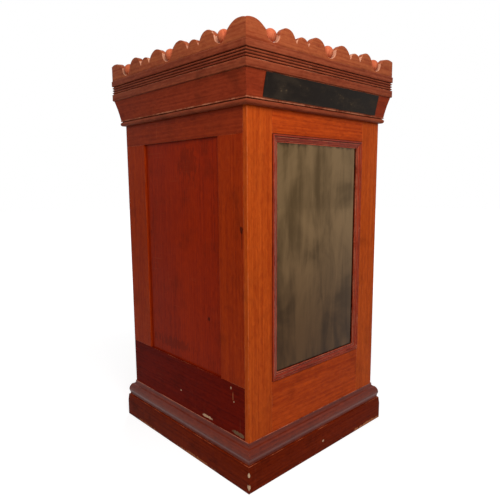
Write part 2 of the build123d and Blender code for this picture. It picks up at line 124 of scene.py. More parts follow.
@dataclass
class Surface:
    """Vertices, faces and per-vertex attributes that become one mesh."""

    points: np.ndarray
    faces: list[tuple[int, ...]]
    grain: np.ndarray
    wear: np.ndarray
    recess: np.ndarray

    @staticmethod
    def joined(parts: Sequence["Surface"]) -> "Surface":
        """One surface that holds several.

        Args:
            parts: The surfaces, left as they are.

        Returns:
            A new surface with all of their shells.
        """
        faces: list[tuple[int, ...]] = []
        offset = 0
        for part in parts:
            faces.extend(tuple(index + offset for index in face) for face in part.faces)
            offset += len(part.points)
        return Surface(
            np.concatenate([part.points for part in parts]),
            faces,
            np.concatenate([part.grain for part in parts]),
            np.concatenate([part.wear for part in parts]),
            np.concatenate([part.recess for part in parts]),
        )

    def volume(self) -> float:
        """Signed volume by summing the cones from the origin to each face's fan of triangles."""
        total = 0.0
        for face in self.faces:
            first = self.points[face[0]]
            fan = self.points[list(face[1:])]
            total += float(np.sum(np.cross(fan[:-1], fan[1:]) @ first))
        return total / 6

    def outwards(self) -> "Surface":
        """The same surface with its faces pointing out of the closed shell."""
        if self.volume() >= 0:
            return self
        return replace(self, faces=[tuple(reversed(face)) for face in self.faces])

    def build(self, name: str) -> bpy.types.Object:
        """Make the mesh object.

        Args:
            name: The object's name.

        Returns:
            The object, at the origin, smooth with sharp edges kept.
        """
        mesh = bpy.data.meshes.new(name)
        mesh.from_pydata(self.points.tolist(), [], self.faces)
        for label, values in (("wear", self.wear), ("recess", self.recess)):
            layer = mesh.attributes.new(label, "FLOAT", "POINT")
            layer.data.foreach_set("value", values.astype(np.float32))
        layer = mesh.attributes.new("grain", "FLOAT_VECTOR", "POINT")
        layer.data.foreach_set("vector", self.grain.astype(np.float32).ravel())
        mesh.polygons.foreach_set("use_smooth", np.ones(len(mesh.polygons), dtype=bool))
        mesh.update()
        mesh.set_sharp_from_angle(angle=SHARP_ANGLE)
        piece = bpy.data.objects.new(name, mesh)
        bpy.context.scene.collection.objects.link(piece)
        return piece


def grid_faces(rows: int, columns: int, closed: bool) -> list[tuple[int, ...]]:
    """Quads of a grid of points laid out row by row.

    Args:
        rows: Points along the path.
        columns: Points round the section.
        closed: Whether the section runs round into itself.

    Returns:
        The faces as index tuples.
    """
    across = columns if closed else columns - 1
    row, column = np.meshgrid(np.arange(rows - 1), np.arange(across), indexing="ij")
    here, above = row * columns, (row + 1) * columns
    after = (column + 1) % columns
    quads = np.stack([here + column, here + after, above + after, above + column], axis=-1)
    return [tuple(quad) for quad in quads.reshape(-1, 4).tolist()]


def bend_of_loop(loop: np.ndarray, reach: float) -> tuple[np.ndarray, np.ndarray]:
    """How far each point of a closed section stands out as an arris or lies in a hollow.

    At every point the turning angle between the chords to the neighbours at the given arc
    distance is taken; outward turns give wear, inward turns give recess.

    Args:
        loop: Points of the closed section, anticlockwise.
        reach: Arc distance over which the turn is measured, in metres.

    Returns:
        Wear and recess from 0 to 1, one of each for every point.
    """
    steps = np.linalg.norm(np.roll(loop, -1, 0) - loop, axis=1)
    place = np.concatenate([[0], np.cumsum(steps)])
    length = place[-1]
    closed = np.vstack([loop, loop[:1]])

    def at(distance: np.ndarray) -> np.ndarray:
        """Points of the loop at arc distances."""
        wrapped = np.mod(distance, length)
        return np.stack([np.interp(wrapped, place, closed[:, axis]) for axis in (0, 1)], axis=1)

    before = loop - at(place[:-1] - reach)
    after = at(place[:-1] + reach) - loop
    turn = np.arctan2(
        before[:, 0] * after[:, 1] - before[:, 1] * after[:, 0],
        np.sum(before * after, axis=1),
    )
    area = np.sum(loop[:, 0] * np.roll(loop[:, 1], -1) - np.roll(loop[:, 0], -1) * loop[:, 1])
    turn *= np.sign(area)
    full_wear, full_recess = 1.1, 0.9
    return np.clip(turn / full_wear, 0, 1), np.clip(-turn / full_recess, 0, 1)


def rounded_section(points: Sequence[Pair], radius: float, support: float = 3.0) -> np.ndarray:
    """A closed outline with each of its corners rounded by a small arc.

    Every corner is replaced by five points of a quadratic curve between two points on its
    sides, with one more support point on each side a little further out, so that flat
    stretches shade flat.

    Args:
        points: The outline's corners in order.
        radius: How far the rounding reaches along each side.
        support: Distance of the support points in radii.

    Returns:
        Array of points in the plane of the section.
    """
    side_share, least_turn, least_room = 0.42, 0.25, 2.4
    corner = np.array(points, float)
    before = np.roll(corner, 1, 0) - corner
    after = np.roll(corner, -1, 0) - corner
    before_length = np.linalg.norm(before, axis=1)
    after_length = np.linalg.norm(after, axis=1)
    result = []
    blend = np.linspace(0, 1, 5)[:, None]
    for index, middle in enumerate(corner):
        toward = before[index] / before_length[index]
        away = after[index] / after_length[index]
        reach = min(radius, before_length[index] * side_share, after_length[index] * side_share)
        turn = abs(toward[0] * away[1] - toward[1] * away[0])
        if turn < least_turn:
            result.append(middle)
            continue
        start, end = middle + toward * reach, middle + away * reach
        if before_length[index] > least_room * support * reach:
            result.append(middle + toward * reach * support)
        result.extend((1 - blend) ** 2 * start + 2 * blend * (1 - blend) * middle + blend**2 * end)
        if after_length[index] > least_room * support * reach:
            result.append(middle + away * reach * support)
    return np.array(result)


def arc(centre: Pair, radius: float, start: float, end: float, count: int) -> list[Pair]:
    """Points of a circular arc.

    Args:
        centre: Centre of the circle.
        radius: Its radius.
        start: First angle, in degrees.
        end: Last angle, in degrees.
        count: How many points.

    Returns:
        The points as pairs.
    """
    angle = np.radians(np.linspace(start, end, count))
    return [(centre[0] + radius * math.cos(a), centre[1] + radius * math.sin(a)) for a in angle]


def through_three(first: Pair, middle: Pair, last: Pair, count: int) -> list[Pair]:
    """Points of the circular arc from first through middle to last.

    Args:
        first: Start of the arc.
        middle: A point on the way.
        last: End of the arc.
        count: How many points.

    Returns:
        The points as pairs, with the two ends.
    """
    a, b, c = (np.array(point, float) for point in (first, middle, last))
    matrix = 2 * np.array([b - a, c - a])
    centre = np.linalg.solve(matrix, np.array([b @ b - a @ a, c @ c - a @ a]))
    radius = float(np.linalg.norm(a - centre))
    angles = [math.degrees(math.atan2(point[1] - centre[1], point[0] - centre[0])) for point in (a, b, c)]
    middle_turn = (angles[1] - angles[0]) % 360
    last_turn = (angles[2] - angles[0]) % 360
    if middle_turn > last_turn:
        last_turn -= 360
    return arc((centre[0], centre[1]), radius, angles[0], angles[0] + last_turn, count)


class Wall(Enum):
    """The four walls of the case, each with its outward direction and its length direction."""

    FRONT = ((0, -1, 0), (1, 0, 0))
    BACK = ((0, 1, 0), (-1, 0, 0))
    LEFT = ((-1, 0, 0), (0, -1, 0))
    RIGHT = ((1, 0, 0), (0, 1, 0))

    @property
    def outward(self) -> np.ndarray:
        """Unit vector out of the wall."""
        return np.array(self.value[0], float)

    @property
    def along(self) -> np.ndarray:
        """Unit vector along the wall, to the right for somebody who faces it."""
        return np.array(self.value[1], float)


@dataclass(frozen=True)
class Track:
    """A straight path for a section, with the plane that the section lies in.

    A section point (first, second) lies at middle + first * aside + second * upward, moved
    along the path. The mitre says how the ends follow the first number: +1 makes the piece
    longer with it, as round the outside of a case, -1 makes it shorter, as round the inside
    of a frame, and 0 leaves square ends.
    """

    middle: np.ndarray
    along: np.ndarray
    aside: np.ndarray
    upward: np.ndarray
    half_length: float
    mitre: float


@dataclass(frozen=True)
class Case:
    """The plain box of the case, to which mouldings and frames are set."""

    half_width: float
    half_depth: float

    @staticmethod
    def from_frame() -> "Case":
        """Read the box from the case top, which covers it exactly."""
        _, high = corners("case_top")
        return Case(float(high[0]), float(high[1]))

    def half_length(self, wall: Wall) -> float:
        """Half of the wall's length."""
        return self.half_width if wall in (Wall.FRONT, Wall.BACK) else self.half_depth

    def distance(self, wall: Wall) -> float:
        """Distance of the wall from the middle of the case."""
        return self.half_depth if wall in (Wall.FRONT, Wall.BACK) else self.half_width

    def track(self, wall: Wall, mitre: float = 1.0, shorter: float = 0.0) -> Track:
        """The path of a moulding on a wall, with reach and height as its section.

        Args:
            wall: Which wall.
            mitre: How the ends follow the reach.
            shorter: How far each end stays back from the wall's end.

        Returns:
            The track.
        """
        return Track(
            wall.outward * self.distance(wall), wall.along, wall.outward, np.array([0, 0, 1.0]),
            self.half_length(wall) - shorter, mitre,
        )


def carried(section: np.ndarray, track: Track, seed: int, stations: int = 90, bow: float = 0.3 * MM) -> Surface:
    """A section carried along a track, closed at both ends.

    At a station t from -1 to 1 a point with the first number f lies at t times (half the
    length plus mitre times f). A slow wobble moves the arrises in by a fraction of a
    millimetre, as hand planing and a century of wear do.

    Args:
        section: Closed outline in metres.
        track: The path.
        seed: Picks the wobble and the cut of wood.
        stations: Number of sections along the path.
        bow: Greatest move of an arris.

    Returns:
        The closed surface.
    """
    near_ends = np.array([0.0004, 0.0015, 0.004])
    hairline = 0.05 * MM
    long_wave, short_wave = 110 * MM, 42 * MM
    end_reach, end_gain = 14 * MM, 0.5
    stretch = np.unique(np.concatenate([np.linspace(-1, 1, stations), -1 + near_ends, 1 - near_ends]))
    first, second = section[:, 0], section[:, 1]
    along = stretch[:, None] * (track.half_length - hairline + track.mitre * first[None, :])
    wear_loop, recess_loop = bend_of_loop(section, WEAR_REACH)

    def place(a: np.ndarray, b: np.ndarray) -> np.ndarray:
        """Places in space of section numbers a and b at every station."""
        line = track.middle + along[..., None] * track.along
        return line + a[..., None] * track.aside + b[..., None] * track.upward

    rough = place(np.broadcast_to(first, along.shape), np.broadcast_to(second, along.shape))
    worn_away = (np.abs(wobble(rough, long_wave, seed)) + np.abs(wobble(rough, short_wave, seed + 1))) / 2
    shift = -worn_away * bow * wear_loop[None, :]
    away = section - section.mean(0)
    away /= np.linalg.norm(away, axis=1)[:, None]
    points = place(first[None, :] + shift * away[None, :, 0], second[None, :] + shift * away[None, :, 1])
    rows, columns = along.shape
    faces = grid_faces(rows, columns, closed=True)
    faces.append(tuple(range(columns))[::-1])
    faces.append(tuple((rows - 1) * columns + index for index in range(columns)))
    grain = np.stack(
        [along, np.broadcast_to(first, along.shape), np.broadcast_to(second, along.shape)], axis=-1
    ) + cut_of_wood(seed)
    near_end = np.clip(1 - (1 - np.abs(stretch)) * track.half_length / end_reach, 0, 1)[:, None]
    wear = np.clip(wear_loop[None, :] * (1 + end_gain * near_end), 0, 1)
    return Surface(
        points.reshape(-1, 3),
        faces,
        grain.reshape(-1, 3),
        np.broadcast_to(wear, along.shape).ravel(),
        np.broadcast_to(recess_loop, along.shape).ravel(),
    ).outwards()


def cut_of_wood(seed: int) -> np.ndarray:
    """Where in the log a piece was cut: far along it, and a hand's width from the pith."""
    rng = np.random.default_rng(seed)
    log_length, from_pith = 5.0, 0.08
    return rng.uniform(-1, 1, 3) * [log_length, from_pith, from_pith]


class Axis(Enum):
    """The direction that the grain of a board follows."""

    X = 0
    Y = 1
    Z = 2


def board(
    low: np.ndarray, high: np.ndarray, grain_axis: Axis, seed: int, arris: float = 0.8 * MM, cuts: int = 14
) -> Surface:
    """A sawn and planed board with softly rounded arrises.

    The board is a grid over the six faces of a box. Each point is first held inside the
    box that is smaller by the arris radius, then pushed out again by that radius along the
    direction to its place, which rounds every edge and corner.

    Args:
        low: Lowest corner.
        high: Highest corner.
        grain_axis: Direction of the grain.
        seed: Picks the cut of wood and the wear.
        arris: Radius of the rounded arrises.
        cuts: Divisions of the longest side.

    Returns:
        The closed surface.
    """
    weld, least_length = 1e-7, 1e-12
    long_wave, short_wave, dent_depth = 30 * MM, 9 * MM, 0.3 * MM
    centre = (low + high) / 2
    half = (high - low) / 2
    arris = float(min(arris, half.min() * 0.9))
    inner = half - arris
    edge = arris * np.tan(np.radians([0, 15, 30, 45]))
    lines = []
    for axis in range(3):
        count = max(2, int(round(cuts * half[axis] / half.max())) + 1)
        support = min(2.5 * arris, inner[axis] * 0.5)
        middle = np.linspace(-(inner[axis] - support), inner[axis] - support, count)
        lines.append(np.concatenate([-inner[axis] - edge[::-1], middle, inner[axis] + edge]))
    points, faces = [], []
    offset = 0
    for axis in range(3):
        first, second = [other for other in range(3) if other != axis]
        a, b = np.meshgrid(lines[first], lines[second], indexing="ij")
        for sign in (-1, 1):
            face_points = np.zeros(a.shape + (3,))
            face_points[..., first] = a
            face_points[..., second] = b
            face_points[..., axis] = sign * half[axis]
            quads = grid_faces(a.shape[0], a.shape[1], closed=False)
            flip = (sign > 0) == (axis == 1)
            if flip:
                quads = [tuple(reversed(quad)) for quad in quads]
            faces.extend(tuple(index + offset for index in quad) for quad in quads)
            points.append(face_points.reshape(-1, 3))
            offset += a.size
    raw = np.concatenate(points)
    held = np.clip(raw, -inner, inner)
    away = raw - held
    away /= np.maximum(np.linalg.norm(away, axis=1), least_length)[:, None]
    shaped = held + arris * away
    key = np.round(shaped / weld).astype(np.int64)
    _, first_index, inverse = np.unique(key, axis=0, return_index=True, return_inverse=True)
    inverse = inverse.ravel()
    merged = shaped[first_index]
    merged_faces = [tuple(face) for face in inverse[np.array(faces)].tolist()]
    into_edge = np.sort(np.clip((np.abs(merged) - inner) / arris, 0, 1), axis=1)
    wear = np.clip(into_edge[:, 1] * 1.8, 0, 1)
    world = merged + centre
    dent = (np.abs(wobble(world, long_wave, seed)) + np.abs(wobble(world, short_wave, seed + 1))) / 2
    world = world - away[first_index] * (dent * wear * dent_depth)[:, None]
    order = [grain_axis.value] + [axis for axis in range(3) if axis != grain_axis.value]
    grain = merged[:, order] + cut_of_wood(seed)
    return Surface(world, merged_faces, grain, wear, np.zeros(len(world))).outwards()


def turned(profile: np.ndarray, centre: np.ndarray, axis: np.ndarray, seed: int, segments: int = 40) -> Surface:
    """A turned piece: a profile of radius and height carried round an axis.

    Args:
        profile: Pairs of radius and height from one pole to the other, both poles on the axis.
        centre: Where height 0 lies.
        axis: Unit vector of the axis.
        seed: Picks the cut of wood.
        segments: Faces round the axis.

    Returns:
        The closed surface, with a single vertex at each pole.
    """
    axis = axis / np.linalg.norm(axis)
    helper = np.array([1.0, 0, 0]) if abs(axis[0]) < 0.9 else np.array([0, 1.0, 0])
    first = np.cross(axis, helper)
    first /= np.linalg.norm(first)
    second = np.cross(axis, first)
    angle = np.linspace(0, 2 * math.pi, segments, endpoint=False)
    ring = np.cos(angle)[:, None] * first + np.sin(angle)[:, None] * second
    radius, height = profile[1:-1, 0], profile[1:-1, 1]
    middle = centre + radius[:, None, None] * ring[None] + height[:, None, None] * axis
    rows, columns = len(radius), segments
    poles = [centre + profile[0, 1] * axis, centre + profile[-1, 1] * axis]
    points = np.concatenate([middle.reshape(-1, 3), poles])
    faces = grid_faces(rows, columns, closed=True)
    low, high = rows * columns, rows * columns + 1
    for index in range(columns):
        after = (index + 1) % columns
        faces.append((low, after, index))
        faces.append((high, (rows - 1) * columns + index, (rows - 1) * columns + after))
    local = points - centre
    grain = np.stack([local @ axis, local @ first, local @ second], axis=1) + cut_of_wood(seed)
    loop = np.concatenate([profile, (profile * [-1, 1])[-2:0:-1]])
    wear, recess = (values[: len(profile)] for values in bend_of_loop(loop, 1.5 * MM))

    def spread(values: np.ndarray) -> np.ndarray:
        """Values of the profile, one for every vertex."""
        return np.concatenate([np.repeat(values[1:-1], columns), [values[0], values[-1]]])

    return Surface(points, faces, grain, spread(wear), spread(recess)).outwards()


def tangent_arc(start: Pair, end: Pair, tangent: Pair, count: int) -> list[Pair]:
    """Points of the circular arc that leaves start along a tangent and comes to end.

    The centre lies on the normal at start, at the distance chord squared over twice the
    chord's part along that normal.

    Args:
        start: First point.
        end: Last point.
        tangent: Unit direction in which the arc leaves.
        count: How many points.

    Returns:
        The points as pairs, with the two ends.
    """
    chord = np.array(end, float) - np.array(start, float)
    normal = np.array([-tangent[1], tangent[0]], float)
    signed = float(chord @ chord / (2 * (chord @ normal)))
    centre = np.array(start) + normal * signed
    begin = math.atan2(start[1] - centre[1], start[0] - centre[0])
    finish = math.atan2(end[1] - centre[1], end[0] - centre[0])
    if signed > 0 and finish < begin:
        finish += 2 * math.pi
    if signed < 0 and finish > begin:
        finish -= 2 * math.pi
    return arc((centre[0], centre[1]), abs(signed), math.degrees(begin), math.degrees(finish), count)


# Shader graphs

class Socket(Enum):
    """Kinds of sockets on a node group."""

    FLOAT = "NodeSocketFloat"
    VECTOR = "NodeSocketVector"


class Graph:
    """A shader node tree with short calls for the nodes that the finishes use."""

    def __init__(self, tree: bpy.types.NodeTree) -> None:
        """Keep the tree that nodes are added to."""
        self.tree = tree

    def add(self, kind: str, **settings: object) -> bpy.types.Node:
        """A new node of a kind, with its settings."""
        node = self.tree.nodes.new(kind)
        for name, value in settings.items():
            setattr(node, name, value)
        return node

    def plug(self, socket: bpy.types.NodeSocket, value: object) -> None:
        """Link a socket into another, or set the value that it holds."""
        if isinstance(value, bpy.types.NodeSocket):
            self.tree.links.new(value, socket)
        else:
            socket.default_value = value

    def math(self, operation: str, *values: object, clamp: bool = False) -> bpy.types.NodeSocket:
        """A Math node on one to three values."""
        node = self.add("ShaderNodeMath", operation=operation, use_clamp=clamp)
        for index, value in enumerate(values):
            self.plug(node.inputs[index], value)
        return node.outputs[0]

    def vector(self, operation: str, *values: object) -> bpy.types.NodeSocket:
        """A Vector Math node on vectors; LENGTH gives its number."""
        node = self.add("ShaderNodeVectorMath", operation=operation)
        for index, value in enumerate(values):
            self.plug(node.inputs[index], value)
        return node.outputs["Value" if operation == "LENGTH" else "Vector"]

    def centred(self, value: object, gain: float) -> bpy.types.NodeSocket:
        """A noise moved so that its middle is 0, times a gain."""
        return self.math("MULTIPLY_ADD", value, gain, -gain / 2)

    def mix(self, factor: object, first: object, second: object) -> bpy.types.NodeSocket:
        """A Mix node on two colours."""
        node = self.add("ShaderNodeMix", data_type="RGBA", clamp_factor=True)
        self.plug(node.inputs[0], factor)
        self.plug(node.inputs[6], first)
        self.plug(node.inputs[7], second)
        return node.outputs[2]

    def ramp(
        self, value: object, low: object, high: object, to_low: float = 0.0, to_high: float = 1.0
    ) -> bpy.types.NodeSocket:
        """A smooth step of a value between low and high."""
        node = self.add("ShaderNodeMapRange", interpolation_type="SMOOTHSTEP")
        for index, part in enumerate((value, low, high, to_low, to_high)):
            self.plug(node.inputs[index], part)
        return node.outputs[0]

    def noise(
        self, vector: object, stretch: tuple[float, float, float], detail: float = 3.0, twist: float = 0.0
    ) -> bpy.types.NodeSocket:
        """Noise on a stretched vector.

        Args:
            vector: Place in metres.
            stretch: Waves per metre along each axis.
            detail: Octaves.
            twist: Distortion.

        Returns:
            The noise from 0 to 1, mostly near 0.5.
        """
        node = self.add("ShaderNodeTexNoise")
        self.plug(node.inputs["Vector"], self.vector("MULTIPLY", vector, stretch))
        node.inputs["Scale"].default_value = 1.0
        node.inputs["Detail"].default_value = detail
        node.inputs["Roughness"].default_value = 0.55
        node.inputs["Distortion"].default_value = twist
        return node.outputs[0]

    def group(self, tree: bpy.types.NodeTree, **values: object) -> bpy.types.Node:
        """A node group placed in this tree; a name's underscores stand for spaces."""
        node = self.add("ShaderNodeGroup", node_tree=tree)
        for name, value in values.items():
            self.plug(node.inputs[name.replace("_", " ")], value)
        return node


def new_group(
    name: str, inputs: dict[str, Socket], outputs: dict[str, Socket]
) -> tuple[Graph, bpy.types.Node, bpy.types.Node]:
    """A new shader node group with named sockets.

    Args:
        name: The group's name.
        inputs: Names and kinds of its inputs.
        outputs: Names and kinds of its outputs.

    Returns:
        Its graph, its input node and its output node.
    """
    tree = bpy.data.node_groups.new(name, "ShaderNodeTree")
    for label, kind in inputs.items():
        tree.interface.new_socket(name=label, in_out="INPUT", socket_type=kind.value)
    for label, kind in outputs.items():
        tree.interface.new_socket(name=label, in_out="OUTPUT", socket_type=kind.value)
    graph = Graph(tree)
    return graph, graph.add("NodeGroupInput"), graph.add("NodeGroupOutput")


class Effects:
    """The node groups that several finishes share, each built once."""

    def __init__(self) -> None:
        """Build all groups."""
        self.figure = self._figure()
        self.edge_wear = self._edge_wear()
        self.grime = self._grime()
        self.spot = self._spot()
        self.scuffs = self._scuffs()

    @staticmethod
    def _figure() -> bpy.types.NodeTree:
        """Growth rings, streaks, mottling, blotches and pores of a sawn board.

        The rings are a sine of the distance from the pith, which runs along X, bent by a
        slow noise. Streaks, mottling, blotches and pores are noises stretched along X.
        """
        graph, given, result = new_group(
            "wood_figure",
            {"Vector": Socket.VECTOR, "Ring Spacing": Socket.FLOAT},
            {"Tone": Socket.FLOAT, "Blotch": Socket.FLOAT, "Pores": Socket.FLOAT, "Height": Socket.FLOAT},
        )
        bend_waves, blotch_waves = (1.1, 9, 9), (1.6, 9, 9)
        streak_waves, mottle_waves, pore_waves = (4, 210, 210), (60, 170, 170), (45, 1500, 1500)
        place = given.outputs["Vector"]
        across = graph.vector("MULTIPLY", place, (0.0, 1.0, 1.0))
        bend = graph.math("MULTIPLY", graph.noise(place, bend_waves, 2), 3.6)
        rings = graph.math("DIVIDE", graph.vector("LENGTH", across), given.outputs["Ring Spacing"])
        turn = graph.math("MULTIPLY", graph.math("ADD", rings, bend), 2 * math.pi)
        wave = graph.math("MULTIPLY_ADD", graph.math("SINE", turn), 0.5, 0.5)
        late_wood = graph.math("POWER", wave, 1.8)
        streaks = graph.noise(place, streak_waves, 4)
        blotch = graph.noise(place, blotch_waves, 2)
        mottle = graph.noise(place, mottle_waves, 3, 0.7)
        pores = graph.ramp(graph.noise(place, pore_waves, 1), 0.60, 0.70)
        tone = graph.math("MULTIPLY_ADD", late_wood, -0.2, 0.57)
        tone = graph.math("ADD", tone, graph.centred(streaks, 1.7))
        tone = graph.math("ADD", tone, graph.centred(mottle, 1.5))
        tone = graph.math("ADD", tone, graph.centred(blotch, 1.0), clamp=True)
        height = graph.math("MULTIPLY_ADD", pores, -0.6, streaks)
        for name, socket in (("Tone", tone), ("Blotch", blotch), ("Pores", pores), ("Height", height)):
            graph.plug(result.inputs[name], socket)
        return graph.tree

    @staticmethod
    def _edge_wear() -> bpy.types.NodeTree:
        """Finish rubbed off along arrises, also used for painted highlights on moulded arrises: the wear
        attribute broken up by two noises.
        """
        graph, given, result = new_group(
            "edge_wear",
            {"Vector": Socket.VECTOR, "Wear": Socket.FLOAT, "Amount": Socket.FLOAT},
            {"Mask": Socket.FLOAT},
        )
        place = given.outputs["Vector"]
        broad = graph.centred(graph.noise(place, (26, 26, 26), 3), 1.6)
        fine = graph.centred(graph.noise(place, (260, 260, 260), 3), 0.8)
        total = graph.math("ADD", graph.math("ADD", given.outputs["Wear"], broad), fine)
        threshold = graph.math("SUBTRACT", 1.2, given.outputs["Amount"])
        mask = graph.ramp(total, threshold, graph.math("ADD", threshold, 0.3))
        touched = graph.ramp(given.outputs["Wear"], 0.02, 0.2)
        graph.plug(result.inputs["Mask"], graph.math("MULTIPLY", mask, touched))
        return graph.tree

    @staticmethod
    def _grime() -> bpy.types.NodeTree:
        """Dark wax and dust in quirks and hollows, and in loose patches."""
        graph, given, result = new_group(
            "grime",
            {"Vector": Socket.VECTOR, "Recess": Socket.FLOAT, "Amount": Socket.FLOAT},
            {"Mask": Socket.FLOAT},
        )
        place = given.outputs["Vector"]
        patches = graph.ramp(graph.noise(place, (17, 17, 17), 5), 0.50, 0.78)
        loose = graph.math("MULTIPLY", patches, 0.55)
        settled = graph.math("MULTIPLY", given.outputs["Recess"], graph.math("MULTIPLY_ADD", patches, 0.5, 0.75))
        dust = graph.math("MAXIMUM", loose, settled)
        total = graph.math("MULTIPLY", dust, given.outputs["Amount"], clamp=True)
        graph.plug(result.inputs["Mask"], total)
        return graph.tree

    @staticmethod
    def _spot() -> bpy.types.NodeTree:
        """A ragged spot: distance from its centre in radii, with noise added to the rim."""
        graph, given, result = new_group(
            "spot",
            {"Vector": Socket.VECTOR, "Centre": Socket.VECTOR, "Size": Socket.VECTOR, "Ragged": Socket.FLOAT},
            {"Mask": Socket.FLOAT},
        )
        place = given.outputs["Vector"]
        away = graph.vector("SUBTRACT", place, given.outputs["Centre"])
        offset = graph.vector("DIVIDE", away, given.outputs["Size"])
        broken = graph.centred(graph.noise(place, (150, 150, 60), 5), 4.0)
        rim = graph.math("MULTIPLY_ADD", broken, given.outputs["Ragged"], graph.vector("LENGTH", offset))
        graph.plug(result.inputs["Mask"], graph.ramp(rim, 0.7, 1.05, 1.0, 0.0))
        return graph.tree

    @staticmethod
    def _scuffs() -> bpy.types.NodeTree:
        """Fine scratches in two directions and faint handling marks."""
        graph, given, result = new_group(
            "scuffs", {"Vector": Socket.VECTOR, "Amount": Socket.FLOAT}, {"Mask": Socket.FLOAT}
        )
        place = given.outputs["Vector"]
        steep = graph.ramp(graph.noise(place, (420, 420, 9), 1, 0.4), 0.66, 0.72)
        flat = graph.ramp(graph.noise(place, (12, 12, 380), 1, 0.5), 0.67, 0.73)
        where = graph.ramp(graph.noise(place, (11, 11, 11), 2), 0.45, 0.7)
        lines = graph.math("MULTIPLY", graph.math("MAXIMUM", steep, flat), where)
        graph.plug(result.inputs["Mask"], graph.math("MULTIPLY", lines, given.outputs["Amount"], clamp=True))
        return graph.tree


# Finishes

class GrainSource(Enum):
    """Where a wood finish takes its grain direction from."""

    PIECE = 0
    ALONG_Y = 1
    ALONG_Z = 2


@dataclass(frozen=True)
class Spot:
    """A chip, rub or stain at one place, in millimetres of the frame."""

    centre: tuple[float, float, float]
    size: tuple[float, float, float]
    colour: Colour
    strength: float = 1.0
    ragged: float = 0.5


BARE_EDGE = srgb(196, 122, 78)
CHIP = srgb(226, 188, 150)
WAX = srgb(34, 13, 8)


@dataclass(frozen=True)
class WoodFinish:
    """Stained and varnished wood with its wear, and on the mouldings, the base cap and the cresting a painted
    highlight on the arrises.
    """

    name: str
    light: Colour
    dark: Colour
    pale_wear_and_highlight: Colour = BARE_EDGE
    roughness: float = 0.36
    coat: float = 0.01
    specular: float = 0.02
    wear: float = 0.4
    grime: float = 0.6
    scuffs: float = 0.35
    ring_spacing: float = 7 * MM
    grain: GrainSource = GrainSource.PIECE
    spots: tuple[Spot, ...] = ()

    def material(self, effects: Effects) -> bpy.types.Material:
        """Build the material.

        Args:
            effects: The shared node groups.

        Returns:
            The material, with a single Principled shader.
        """
        material = bpy.data.materials.new(self.name)
        material.use_nodes = True
        graph = Graph(material.node_tree)
        shader = material.node_tree.nodes["Principled BSDF"]
        place = graph.add("ShaderNodeTexCoord").outputs["Object"]
        along = self._grain_vector(graph, place)
        figure = graph.group(effects.figure, Vector=along, Ring_Spacing=self.ring_spacing)
        wear_value = graph.add("ShaderNodeAttribute", attribute_name="wear").outputs["Fac"]
        recess_value = graph.add("ShaderNodeAttribute", attribute_name="recess").outputs["Fac"]
        worn = graph.group(effects.edge_wear, Vector=place, Wear=wear_value, Amount=self.wear).outputs["Mask"]
        dirt = graph.group(effects.grime, Vector=place, Recess=recess_value, Amount=self.grime).outputs["Mask"]
        lines = graph.group(effects.scuffs, Vector=place, Amount=self.scuffs).outputs["Mask"]
        pores = figure.outputs["Pores"]
        colour = graph.mix(figure.outputs["Tone"], self.dark, self.light)
        # Pale on worn arrises and scuffs: rubbed finish, and on some finishes also a painted highlight.
        for mask, share, laid in (
            (pores, 0.3, WAX), (lines, 0.3, self.pale_wear_and_highlight), (worn, 0.8, self.pale_wear_and_highlight), (dirt, 0.75, WAX),
        ):
            colour = graph.mix(graph.math("MULTIPLY", mask, share), colour, laid)
        rough = graph.math("ADD", graph.centred(figure.outputs["Blotch"], 0.14), self.roughness)
        for mask, duller in ((dirt, 0.2), (worn, 0.22), (lines, 0.15)):
            rough = graph.math("MULTIPLY_ADD", mask, duller, rough, clamp=True)
        height = graph.math("MULTIPLY_ADD", figure.outputs["Height"], 0.5, graph.math("MULTIPLY", lines, -0.35))
        for spot in self.spots:
            mask = graph.group(
                effects.spot, Vector=place, Centre=tuple(part * MM for part in spot.centre),
                Size=tuple(part * MM for part in spot.size), Ragged=spot.ragged,
            ).outputs["Mask"]
            mask = graph.math("MULTIPLY", mask, spot.strength)
            colour = graph.mix(mask, colour, spot.colour)
            rough = graph.math("MULTIPLY_ADD", mask, 0.25, rough, clamp=True)
            height = graph.math("MULTIPLY_ADD", mask, -0.6, height)
        film = graph.noise(place, (70, 70, 70), 2)
        height = graph.math("MULTIPLY_ADD", film, 0.9, height)
        bump = graph.add("ShaderNodeBump")
        bump.inputs["Strength"].default_value = 0.35
        bump.inputs["Distance"].default_value = 0.35 * MM
        graph.plug(bump.inputs["Height"], height)
        graph.plug(shader.inputs["Base Color"], colour)
        graph.plug(shader.inputs["Roughness"], rough)
        graph.plug(shader.inputs["Normal"], bump.outputs["Normal"])
        shader.inputs["Specular IOR Level"].default_value = self.specular
        shader.inputs["Coat Weight"].default_value = self.coat
        shader.inputs["Coat Roughness"].default_value = 0.14
        return material

    def _grain_vector(self, graph: Graph, place: bpy.types.NodeSocket) -> bpy.types.NodeSocket:
        """The vector whose X runs along the grain."""
        if self.grain is GrainSource.PIECE:
            return graph.add("ShaderNodeAttribute", attribute_name="grain").outputs["Vector"]
        apart = graph.add("ShaderNodeSeparateXYZ")
        graph.plug(apart.inputs[0], place)
        order = [1, 0, 2] if self.grain is GrainSource.ALONG_Y else [2, 0, 1]
        together = graph.add("ShaderNodeCombineXYZ")
        for index, source in enumerate(order):
            graph.plug(together.inputs[index], apart.outputs[source])
        return together.outputs[0]


